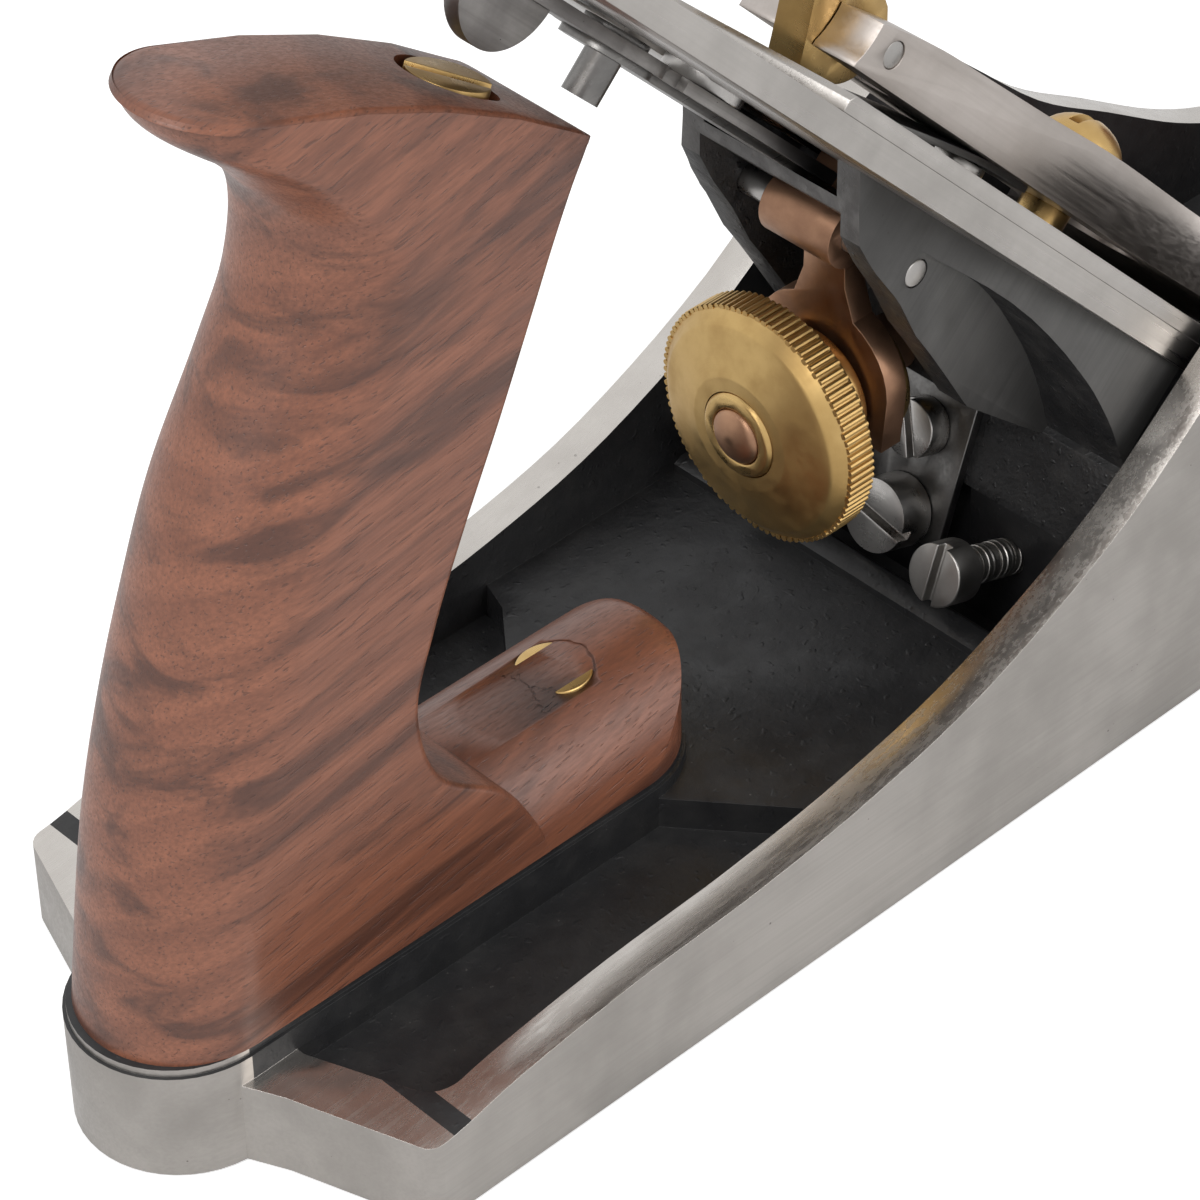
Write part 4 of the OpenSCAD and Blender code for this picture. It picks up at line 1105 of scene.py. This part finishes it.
@dataclass
class Handle:
    """The walnut handle."""

    top: float = 97.0
    base: float = 14.4
    half_width: float = 11.3
    toe_top: float = 26.0
    toe_end: float = HEEL_X + 60.5
    screw_x: float = HEEL_X + 46.4
    rings: int = 120
    rim: float = 0.9
    corner: float = 1.0
    crown: float = 3.1
    crown_from: float = 0.8
    rod_lean: float = 23.7
    rod_x: float = HEEL_X - 4.3
    rod_z: float = 15.0
    rod_over: float = 7.4
    nut_radius: float = 5.25
    nut_depth: float = 24.3
    shank_radius: float = 2.4
    head_radius: float = 4.2
    head_depth: float = 3.0
    fx: Effects = field(default=None, repr=False)

    def rear(self, t: float) -> Vector:
        """Point of the rear outline.

        Args:
            t: share of the way up.

        Returns:
            The side-view point, mm.
        """
        z = self.top
        knots = [heel(-15.95, self.base), heel(-14.3, 26), heel(-12.2, 38), heel(-9, 50), heel(-5.3, 61),
                 heel(-0.5, 73), heel(6.4, 85), heel(10.3, 93), heel(11.1, z + 5), heel(6.4, z + 11.8),
                 heel(0.4, z + 17.4), heel(-1.1, z + 21.3)]
        return Vector(catmull(knots, t))

    def front(self, t: float) -> Vector:
        """Point of the front outline.

        Args:
            t: share of the way up.

        Returns:
            The side-view point, mm.
        """
        z = self.top
        knots = [heel(35.9, self.base), heel(29.9, 25.5), heel(21.2, 33), heel(18.5, 43), heel(21.1, 52),
                 heel(25.5, 62), heel(30.4, 72), heel(35.2, 82), heel(38.3, 88), heel(41.3, 93),
                 heel(43.4, z - 1.4), heel(45, z)]
        return Vector(catmull(knots, t))

    def half_section(self, half: float, length: float) -> list[tuple[float, float]]:
        """Half a cross-section: round behind, a flat side, a small corner in front.

        Args:
            half: half the width, mm.
            length: from back to front, mm.

        Returns:
            Points as distance from the back and sideways place.
        """
        back = min(half, length * 0.5)
        points = [(back - back * math.cos(math.radians(a)), half * math.sin(math.radians(a)))
                  for a in (90 * i / 20 for i in range(21))]
        points += [(back + (length - self.corner - back) * i / 4, half) for i in range(1, 4)]
        points += [(length - self.corner + self.corner * math.sin(math.radians(18 * i)),
                    half - self.corner + self.corner * math.cos(math.radians(18 * i))) for i in range(6)]
        return points

    def ring(self, t: float, inset: float, drop: float) -> list[Vector]:
        """One closed ring of the loft.

        Args:
            t: share of the way up.
            inset: how far it lies inside the section, mm.
            drop: how far it lies below it, mm.

        Returns:
            The points in metres.
        """
        widths = [(w,) for w in (1, 1, 1, 1, 0.99, 0.98, 0.97, 0.95, 0.92, 0.88, 0.84, 0.79)]
        rear, front = self.rear(t), self.front(t)
        length = (front - rear).length
        along = (front - rear).normalized()
        up = Vector((-along.y, along.x))
        half = self.half_width * catmull(widths, t)[0]
        share = max(0.0, t - self.crown_from) / (1 - self.crown_from)
        side = []
        for x, y in self.half_section(half - inset, length - 2 * inset):
            part = (x + inset) / length
            rise = 4 * self.crown * share * share * part * (1 - part) - drop
            spot = rear + along * (x + inset) + up * rise
            side.append(Vector((spot.x, y, spot.y)) * MM)
        return side + [Vector((p.x, -p.y, p.z)) for p in reversed(side[1:])]

    def loft(self) -> bpy.types.Object:
        """The upright part of the handle.

        Returns:
            The part as a closed mesh.
        """
        rings = [self.ring(i / self.rings, 0.0, 0.0) for i in range(self.rings)]
        turns = [math.radians(18 * i) for i in range(6)]
        rings += [self.ring(1.0, self.rim * (1 - math.cos(a)), self.rim * (1 - math.sin(a))) for a in turns]
        count = len(rings[0])
        verts = [p for ring in rings for p in ring]
        faces = bridge(len(rings), count)
        for first in (0, (len(rings) - 1) * count):
            for i in range((count - 1) // 2):
                strip = (first + i, first + i + 1, first + count - i - 1, first + (count - i) % count)
                faces.append(tuple(dict.fromkeys(strip)))
        return new_piece("handle_wood", verts, faces)

    def toe(self) -> bpy.types.Object:
        """The half-round toe along the casting, round in front.

        Returns:
            The toe as a closed mesh.
        """
        reach = self.half_width - 0.05
        axis = self.toe_top - reach
        steps, rows = 36, 28
        stations = [(HEEL_X + 8.0, 1.0)] + [(self.toe_end - reach + reach * math.sin(a), math.cos(a))
                                            for a in (math.radians(90 * i / rows) for i in range(rows))]
        verts = []
        for x, share in stations:
            share = max(share, 0.03)
            soft = 1 - 0.24 * (1 - share) ** 3
            for i in range(steps + 1):
                y = reach * share * math.cos(math.pi * i / steps)
                height = axis + math.sqrt(max(reach * reach - y * y, 0.0)) * soft
                verts.append((x * MM, y * MM, height * MM))
            verts += [(x * MM, -reach * share * MM, self.base * MM),
                      (x * MM, reach * share * MM, self.base * MM)]
        count = steps + 3
        faces = bridge(len(stations), count)
        faces += [tuple(range(count)), tuple(range((len(stations) - 1) * count, len(stations) * count))]
        return new_piece("handle_toe", verts, faces)

    def build(self) -> bpy.types.Object:
        """Makes the handle and seats it on the casting.

        Returns:
            The handle.
        """
        wood = self.loft()
        join_solid(wood, self.toe())
        lean = math.radians(self.rod_lean)
        foot = Vector((self.rod_x, 0, self.rod_z)) * MM
        up = Vector((math.sin(lean), 0, math.cos(lean)))
        rod_l = (self.top + self.rod_over - self.rod_z) / math.cos(lean)
        deep, high, wide = rod_l - self.nut_depth, rod_l + 20, self.nut_radius
        well = lathe("well", [(0, deep), (wide, deep), (wide, high), (0, high)], foot, up, 64)
        bore = lathe("bore", [(0, -20), (ROD_BORE, -20), (ROD_BORE, rod_l), (0, rod_l)], foot, up, 48)
        screw = Vector((self.screw_x, 0, 0)) * MM
        low, shank, head = self.toe_top - self.head_depth, self.shank_radius, self.head_radius
        sink = lathe("sink", [(0, 5), (shank, 5), (shank, low), (head, low), (head, 40), (0, 40)], screw,
                     Vector((0, 0, 1)), 64)
        cut_away(wood, [well, bore, sink])
        settle(wood, 38)
        dress(wood, WalnutFinish(), self.fx)
        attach(wood, Part.CASTING.value)
        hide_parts("tote")
        return wood


@dataclass
class Dressing:
    """CAD nodes that keep their shape and get broken edges and a finish."""

    fx: Effects = field(default=None, repr=False)

    def finishes(self) -> dict[str, tuple[Finish, Part, str, float]]:
        """What each node is dressed in.

        Returns:
            Finish, body, slot and edge width in mm by node.
        """
        up = (0.0, -BED_ANGLE, 0.0)
        side_on = (0.0, math.radians(90), 0.0)
        steel = TurnedMetalFinish("turned_steel", Colours.STEEL, Colours.STEEL_DARK)
        brass = TurnedMetalFinish("turned_brass", Colours.BRASS, Colours.BRASS_DARK)
        wheel = TurnedMetalFinish("wheel_brass", Colours.BRASS, Colours.BRASS_DARK, (0, 0, WHEEL_Z * MM),
                                  side_on)
        blade = GroundSteelFinish("blade_steel", (0.50, 0.475, 0.45), (0.38, 0.36, 0.34), up, 0.3)
        cap = GroundSteelFinish("cap_grey", (0.53, 0.485, 0.455), (0.43, 0.39, 0.36), up, 0.34)
        bronze = TurnedMetalFinish("yoke_bronze", Colours.BRONZE, Colours.BRONZE_DARK, rough=0.38)
        dark = GroundSteelFinish("spring_dark", (0.20, 0.195, 0.19), (0.12, 0.118, 0.115), up, 0.36)
        return {
            "tote_nut": (brass, Part.CASTING, "brass", 0.2),
            "tote_toe_screw": (brass, Part.CASTING, "brass", 0.25),
            "tote_rod": (steel, Part.CASTING, "screw_steel", 0.2),
            "knob_rod": (steel, Part.CASTING, "screw_steel", 0.2),
            "knob_nut": (brass, Part.CASTING, "brass", 0.2),
            "frog_draw_pin_left": (steel, Part.FROG, "screw_steel", 0.2),
            "frog_draw_pin_right": (steel, Part.FROG, "screw_steel", 0.2),
            "frog_clip": (dark, Part.FROG, "screw_steel", 0.2),
            "frog_clip_screw": (steel, Part.FROG, "screw_steel", 0.2),
            "depth_stud": (bronze, Part.FROG, "screw_steel", 0.2),
            "yoke_pin": (steel, Part.FROG, "screw_steel", 0.2),
            "frog_adjust_screw": (steel, Part.ADJUST_SCREW, "screw_steel", 0.2),
            "depth_sleeve": (wheel, Part.SLEEVE, "brass", 0.2),
            "yoke": (bronze, Part.YOKE, "bronze", 0.3),
            "lateral_roller": (steel, Part.ROLLER, "screw_steel", 0.2),
            "blade": (blade, Part.IRON, "tool_steel", 0.12),
            "cap_iron": (blade, Part.IRON, "tool_steel", 0.12),
            "cap_iron_screw": (steel, Part.IRON, "screw_steel", 0.2),
            "lever_cap": (cap, Part.LEVER_CAP, "cap_steel", 0.35),
            "lever_cap_spring": (dark, Part.LEVER_CAP, "spring_steel", 0.1),
            "spring_rivet": (steel, Part.LEVER_CAP, "screw_steel", 0.1),
            "cam_pin": (steel, Part.LEVER_CAP, "screw_steel", 0.1),
            "cam_lever": (brass, Part.CAM, "brass", 0.3),
            "lever_cap_screw": (brass, Part.CAP_SCREW, "brass", 0.2),
        }

    def build(self) -> list[bpy.types.Object]:
        """Makes the softened pieces.

        Returns:
            The pieces.
        """
        made = []
        for node, (finish, part, slot, width) in self.finishes().items():
            piece = softened(node, f"{node}_form", width)
            dress(piece, finish, self.fx)
            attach(piece, part.value)
            made.append(piece)
        return made


@dataclass
class Casting:
    """The body: ground outside, polished on its lands, painted inside."""

    inner: float = 27.1
    inner_heel: float = HEEL_X + 4.4
    toe_from: float = 99.0
    toe_reach: float = 20.2
    fx: Effects = field(default=None, repr=False)

    def pick(self, centre: Vector, normal: Vector) -> int:
        """Which finish a face gets.

        Args:
            centre: the face's centre, mm.
            normal: its normal.

        Returns:
            0 for paint, 1 for the ground outside, 2 for the polished lands.
        """
        wide = abs(centre.y)
        ahead = centre.x - self.toe_from
        toe = ahead > 0 and (ahead / self.toe_reach) ** 3 + (wide / self.inner) ** 3 > 1
        outside = wide > self.inner + 0.05 or toe
        if normal.z < -0.6:
            return 1
        if outside:
            return 2 if normal.z > 0.35 else 1
        if centre.x < self.inner_heel - 0.3:
            if centre.z > 12 and normal.z > 0.5 and wide < 11.6:
                return 0
            return 2 if normal.z > 0.5 else 1
        return 0

    def build(self) -> bpy.types.Object:
        """Makes the casting.

        Returns:
            The casting.
        """
        piece = cad_copy("body", "body_casting")
        break_edges(piece, 0.5, 3)
        land = GroundIronFinish("body_land", (0.62, 0.59, 0.555), (0.5, 0.47, 0.44), rough=0.24, pits=0.35)
        finishes = [PaintedCastFinish("body_paint"), GroundIronFinish("body_ground"), land]
        sort_faces(piece, finishes, self.pick, self.fx)
        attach(piece, Part.CASTING.value)
        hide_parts("body")
        return piece


@dataclass
class Frog:
    """The frog, cut to its outline, with the lateral lever and its rivet."""

    end_x: float = BED_X - 79.0
    half_top: float = 12.5
    recess_half: float = 9.4
    recess: float = 3.2
    lever_h: float = -2.4
    lever_t: float = 1.4
    lever_low: float = 101.0
    pivot_s: float = 141.0
    fx: Effects = field(default=None, repr=False)

    def tools(self) -> list[bpy.types.Object]:
        """The solids that cut the frog to its outline.

        Returns:
            The cutting solids.
        """
        end = [(-130, 20), (self.end_x, 20), (self.end_x, 120), (-130, 120)]
        made = [prism("end_cut", end, -40, 40, from_side)]
        plan = [(52, 27.0), (57, 25.2), (64, 24.4), (70, 23.4), (76, 22.0), (82, 19.8), (88, 17.2), (93, 15.2),
                (98, 13.8), (103, 12.9), (108, self.half_top), (140, self.half_top), (140, 34), (52, 34)]
        for side in (1, -1):
            made.append(prism("side_cut", [(s, side * y) for s, y in plan], -40, 2, on_bed))
        low = [(self.end_x - 3, 70.6), (self.end_x, 70), (-26.5, 66), (-23.5, 61), (-20.6, 55), (-24, 51),
               (-42, 51), (-42, 70.6)]
        made.append(prism("lower_cut", low, -40, 40, from_side))
        half = self.recess_half
        recess = [(99, -half + 2.4), (101, -half), (135, -half), (135, half), (101, half), (99, half - 2.4),
                  (95.5, 6.4), (94, 4), (94, -4), (95.5, -6.4)]
        made.append(prism("recess_cut", recess, -self.recess, 3, on_bed))
        return made

    def pick(self, centre: Vector, normal: Vector) -> int:
        """Which finish a face gets.

        Args:
            centre: the face's centre, mm.
            normal: its normal.

        Returns:
            0 for rough paint, 1 for the machined band and bed, 2 for the end face.
        """
        height = (centre.x - BED_X + centre.z) * ROOT_HALF
        lean = abs(normal.x + normal.z) * ROOT_HALF
        if centre.x < self.end_x + 0.2 and normal.x < -0.8:
            return 2
        if height > -0.3 and lean > 0.9:
            return 1
        if abs(centre.y) > self.half_top - 0.3 and height > -9 and abs(normal.y) > 0.35 and lean < 0.35:
            return 1
        return 0

    def casting(self) -> bpy.types.Object:
        """The frog itself.

        Returns:
            The frog.
        """
        piece = cad_copy("frog", "frog_casting")
        cut_away(piece, self.tools())
        break_edges(piece, 0.45, 2)
        paint = PaintedCastFinish("frog_paint", skin_scale=1.3, depth=0.0005, rough=0.46, worn=0.6)
        machined = GroundIronFinish("frog_machined", (0.12, 0.117, 0.113), (0.07, 0.068, 0.066),
                                    (0, BED_ANGLE, 0), 0.42, 0.3, 0.6)
        rough = PaintedCastFinish("frog_end", (0.075, 0.072, 0.07), (0.17, 0.165, 0.16), 2.0, 0.0003,
                                  0.5, 0.8)
        sort_faces(piece, [paint, machined, rough], self.pick, self.fx)
        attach(piece, Part.FROG.value)
        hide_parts("frog")
        return piece

    def rivet(self) -> bpy.types.Object:
        """The lateral lever's rivet on its strap.

        Returns:
            The rivet.
        """
        piece = cad_copy("lateral_pivot", "lateral_rivet")
        end, half = self.pivot_s + 4, 3.4
        plan = [(97, -half), (end - 2, -half), (end, -1.6), (end, 1.6), (end - 2, half), (97, half)]
        join_solid(piece, prism("strap", plan, -self.recess + 0.01, self.lever_h - 0.02, on_bed))
        break_edges(piece, 0.15)
        dress(piece, GroundSteelFinish("rivet_steel", (0.26, 0.25, 0.24), (0.16, 0.155, 0.15)), self.fx)
        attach(piece, Part.FROG.value)
        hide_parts("lateral_pivot")
        return piece

    def lever(self) -> bpy.types.Object:
        """The lateral lever, with its long arm lying in the frog's recess.

        Returns:
            The lever.
        """
        piece = cad_copy("lateral_lever", "lateral_arm_bar")
        low, high, half = self.lever_low, self.pivot_s - 8, 4.5
        plan = [(low + 2, -half), (high, -half), (high, half), (low + 2, half), (low, 2.4), (low, -2.4)]
        arm = prism("arm", plan, self.lever_h + 0.02, self.lever_h + self.lever_t - 0.02, on_bed)
        join_solid(piece, arm)
        break_edges(piece, 0.2)
        pitted = GroundIronFinish("lever_pitted", (0.34, 0.325, 0.31), (0.16, 0.15, 0.145),
                                  (0, -BED_ANGLE, 0), 0.4, 0.9)
        dress(piece, pitted, self.fx)
        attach(piece, Part.LATERAL.value)
        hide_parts("lateral_lever")
        return piece

    def build(self) -> list[bpy.types.Object]:
        """Makes the frog, the rivet and the lever.

        Returns:
            The pieces.
        """
        return [self.casting(), self.rivet(), self.lever()]


@dataclass
class DepthWheel:
    """The knurled brass wheel."""

    radius: float = 14.0
    bore: float = 5.05
    middle: float = BED_X - 78.8
    half: float = 2.4
    teeth: int = 96
    fx: Effects = field(default=None, repr=False)

    def build(self) -> bpy.types.Object:
        """Turns the wheel and knurls it.

        Returns:
            The wheel.
        """
        r, w = self.radius, self.half
        base = r - 0.38
        corners = [(self.bore, -w, 0), (r - 1.0, -w, 0.2), (base, -w + 0.6, 0.2), (base, w - 0.9, 0.15),
                   (r - 1.9, w + 0.45, 0.25), (r - 2.5, w + 0.65, 0.2), (6.7, w + 1.85, 0.2),
                   (self.bore, w + 1.9, 0)]
        profile = rounded(corners)
        piece = lathe("wheel_rim", profile, Vector((0, 0, 0)), Vector((0, 0, 1)), 192)
        place = axis_frame(Vector((self.middle, 0, WHEEL_Z)) * MM, Vector((-1, 0, 0)))
        finish = TurnedMetalFinish("wheel_face", Colours.BRASS, Colours.BRASS_DARK, (0, 0, WHEEL_Z * MM),
                                   (0, math.radians(90), 0), 0.36)
        sizes = {"Count": 90, "Radius": 0.01, "Tooth Radius": 0.0004, "Length": 0.004}
        knurl = Pattern("knurl", sizes, build_knurl)
        knurl.apply(piece, finish, self.fx, Count=self.teeth, Radius=base * MM, Tooth_Radius=0.36 * MM,
                    Length=(2 * w - 1.4) * MM)
        piece.data.transform(place)
        piece.name = piece.data.name = "depth_wheel_knurled"
        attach(piece, Part.WHEEL.value)
        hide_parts("depth_wheel")
        return piece


@dataclass
class ClampScrews:
    """The two clamp screws behind the frog, with their threads."""

    side: float = 13.0
    below: float = 6.0
    start: float = -6.6
    length: float = 20.0
    pitch: float = 0.8
    radius: float = 1.95
    fx: Effects = field(default=None, repr=False)

    def build(self) -> list[bpy.types.Object]:
        """Makes both screws.

        Returns:
            The screws.
        """
        made = []
        sizes = {"Turns": 10.0, "Radius": 0.002, "Length": 0.01, "Ridge": 0.0002}
        thread = Pattern("thread", sizes, build_thread)
        steel = TurnedMetalFinish("screw_dull", (0.40, 0.385, 0.365), (0.24, 0.23, 0.22), rough=0.36)
        for node, part, y in (("frog_clamp_screw_left", Part.CLAMP_LEFT, self.side),
                              ("frog_clamp_screw_right", Part.CLAMP_RIGHT, -self.side)):
            piece = cad_copy(node, f"{node}_form")
            break_edges(piece, 0.3, 3)
            dress(piece, steel, self.fx)
            coil = new_piece("coil", [], [])
            thread.apply(coil, steel, self.fx, Turns=self.length / self.pitch, Radius=self.radius * MM,
                         Length=self.length * MM, Ridge=0.26 * MM)
            downhill = Vector((math.cos(RAMP_ANGLE), 0, -math.sin(RAMP_ANGLE)))
            coil.data.transform(axis_frame(ramp(self.start, -self.below, y), downhill))
            add_mesh(piece, coil)
            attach(piece, part.value)
            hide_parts(node)
            made.append(piece)
        return made


@dataclass
class Knob:
    """The turned front knob."""

    radius: float = 18.5
    height: float = 60.0
    foot: float = 9.0
    fx: Effects = field(default=None, repr=False)

    def build(self) -> bpy.types.Object:
        """Turns the knob and bores it.

        Returns:
            The knob.
        """
        r, h = self.radius, self.height
        knots = [(r - 2.6, 0), (r - 2.2, 2), (r - 5, 5.5), (r - 7.6, 11), (r - 7.8, 18), (r - 5.4, 26),
                 (r - 1.6, 34), (r, h * 0.7), (r - 2.4, h * 0.84), (r - 8, h * 0.96), (r - 12.5, h)]
        outer = [catmull(knots, i / 60) for i in range(61)]
        inner = [(6.4, h), (6.4, h - 3), (4.55, h - 3), (4.55, h - 16), (ROD_BORE, h - 16)]
        profile = [(ROD_BORE, 0.0)] + outer + inner
        knob = lathe("knob_wood", profile, Vector((KNOB_X, 0, self.foot)) * MM, Vector((0, 0, 1)), 128)
        settle(knob, 38)
        walnut = WalnutFinish("knob_walnut", heart=(-0.02, 0.02, 0.02), grain_turn=(0, math.radians(80), 0))
        dress(knob, walnut, self.fx)
        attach(knob, Part.CASTING.value)
        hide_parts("knob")
        return knob


# Camera, floor and light


@dataclass(frozen=True)
class Studio:
    """Camera, floor and lamps."""

    eye: Point = (-0.30956, -0.27246, 0.34273)
    heading: float = 46.7044
    down: float = 39.8080
    roll: float = -0.8591
    lens: float = 140.286
    lamp_power: float = 1.0

    def camera(self) -> None:
        """Sets the camera at the photograph's place."""
        el, hd, roll = (math.radians(a) for a in (self.down, self.heading, self.roll))
        forward = Vector((math.cos(el) * math.cos(hd), math.cos(el) * math.sin(hd), -math.sin(el)))
        level = Vector((math.sin(hd), -math.cos(hd), 0))
        upward = level.cross(forward)
        right = level * math.cos(roll) + upward * math.sin(roll)
        up = right.cross(forward)
        data = bpy.data.cameras.new("camera")
        data.lens = self.lens
        data.sensor_width = 36
        data.clip_start = 0.01
        data.clip_end = 20
        camera = bpy.data.objects.new("camera", data)
        turn = Matrix((right, up, -forward)).transposed().to_4x4()
        camera.matrix_world = Matrix.Translation(self.eye) @ turn
        bpy.context.scene.collection.objects.link(camera)
        bpy.context.scene.camera = camera

    def floor(self) -> None:
        """A plain pale floor."""
        size = 3.0
        floor = new_piece("floor", [(-size, -size, -0.0002), (size, -size, -0.0002), (size, size, -0.0002),
                                    (-size, size, -0.0002)], [(0, 1, 2, 3)])
        paint = bpy.data.materials.new("floor_paper")
        paint.use_nodes = True
        paint.node_tree.nodes.clear()
        board = NodeBoard(paint.node_tree)
        out = board.add("ShaderNodeOutputMaterial")
        paper = board.add("ShaderNodeBsdfDiffuse", None, Color=(0.86, 0.86, 0.86))
        glow = board.add("ShaderNodeEmission", None, Color=(1.0, 1.0, 1.0))
        seen = board.add("ShaderNodeLightPath").outputs["Is Camera Ray"]
        board.feed(glow.inputs["Strength"], board.math("MULTIPLY", seen, 0.42))
        both = board.add("ShaderNodeAddShader")
        paint.node_tree.links.new(paper.outputs[0], both.inputs[0])
        paint.node_tree.links.new(glow.outputs[0], both.inputs[1])
        paint.node_tree.links.new(both.outputs[0], out.inputs[0])
        floor.data.materials.append(paint)

    def lamp(self, name: str, place: Point, aim: Point, size: float, power: float) -> None:
        """One soft lamp.

        Args:
            name: its name.
            place: where it stands.
            aim: what it points at.
            size: side of its square.
            power: watts.
        """
        data = bpy.data.lights.new(name, "AREA")
        data.size = size
        data.energy = power * self.lamp_power
        lamp = bpy.data.objects.new(name, data)
        lamp.matrix_world = axis_frame(Vector(place), Vector(place) - Vector(aim))
        bpy.context.scene.collection.objects.link(lamp)

    def world(self) -> None:
        """A white surround for the camera and for gloss, and a soft fill."""
        world = bpy.data.worlds.new("studio")
        bpy.context.scene.world = world
        world.use_nodes = True
        world.node_tree.nodes.clear()
        board = NodeBoard(world.node_tree)
        path = board.add("ShaderNodeLightPath")
        mirrored = board.math("MAXIMUM", path.outputs["Is Glossy Ray"], path.outputs["Is Transmission Ray"])
        seen = board.math("MAXIMUM", path.outputs["Is Camera Ray"], mirrored)
        strength = board.math("ADD", 0.55, board.math("MULTIPLY", seen, 0.45))
        back = board.add("ShaderNodeBackground", None, Color=(1.0, 1.0, 1.0), Strength=strength)
        out = board.add("ShaderNodeOutputWorld")
        world.node_tree.links.new(back.outputs[0], out.inputs[0])

    def build(self) -> None:
        """Sets up the whole studio."""
        self.camera()
        self.floor()
        self.world()
        self.lamp("key", (-0.9, -0.1, 1.0), (0, 0, 0.04), 0.8, 9)
        self.lamp("fill", (0.3, -1.2, 0.7), (0, 0, 0.04), 0.9, 7)
        scene = bpy.context.scene
        scene.view_settings.view_transform = "Standard"


def main() -> None:
    """Builds every part in order."""
    logging.basicConfig(level=logging.INFO, format="%(name)s: %(message)s")
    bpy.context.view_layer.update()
    Studio().build()
    fx = Effects()
    wood = Handle(fx=fx).build()
    LOG.info("built %s", wood.name)
    knob = Knob(fx=fx).build()
    LOG.info("built %s", knob.name)
    body = Casting(fx=fx).build()
    LOG.info("built %s", body.name)
    for piece in Frog(fx=fx).build():
        LOG.info("built %s", piece.name)
    wheel = DepthWheel(fx=fx).build()
    LOG.info("built %s", wheel.name)
    for piece in ClampScrews(fx=fx).build():
        LOG.info("built %s", piece.name)
    for piece in Dressing(fx=fx).build():
        LOG.info("built %s, %d faces", piece.name, len(piece.data.polygons))


if __name__ == "__main__":
    main()
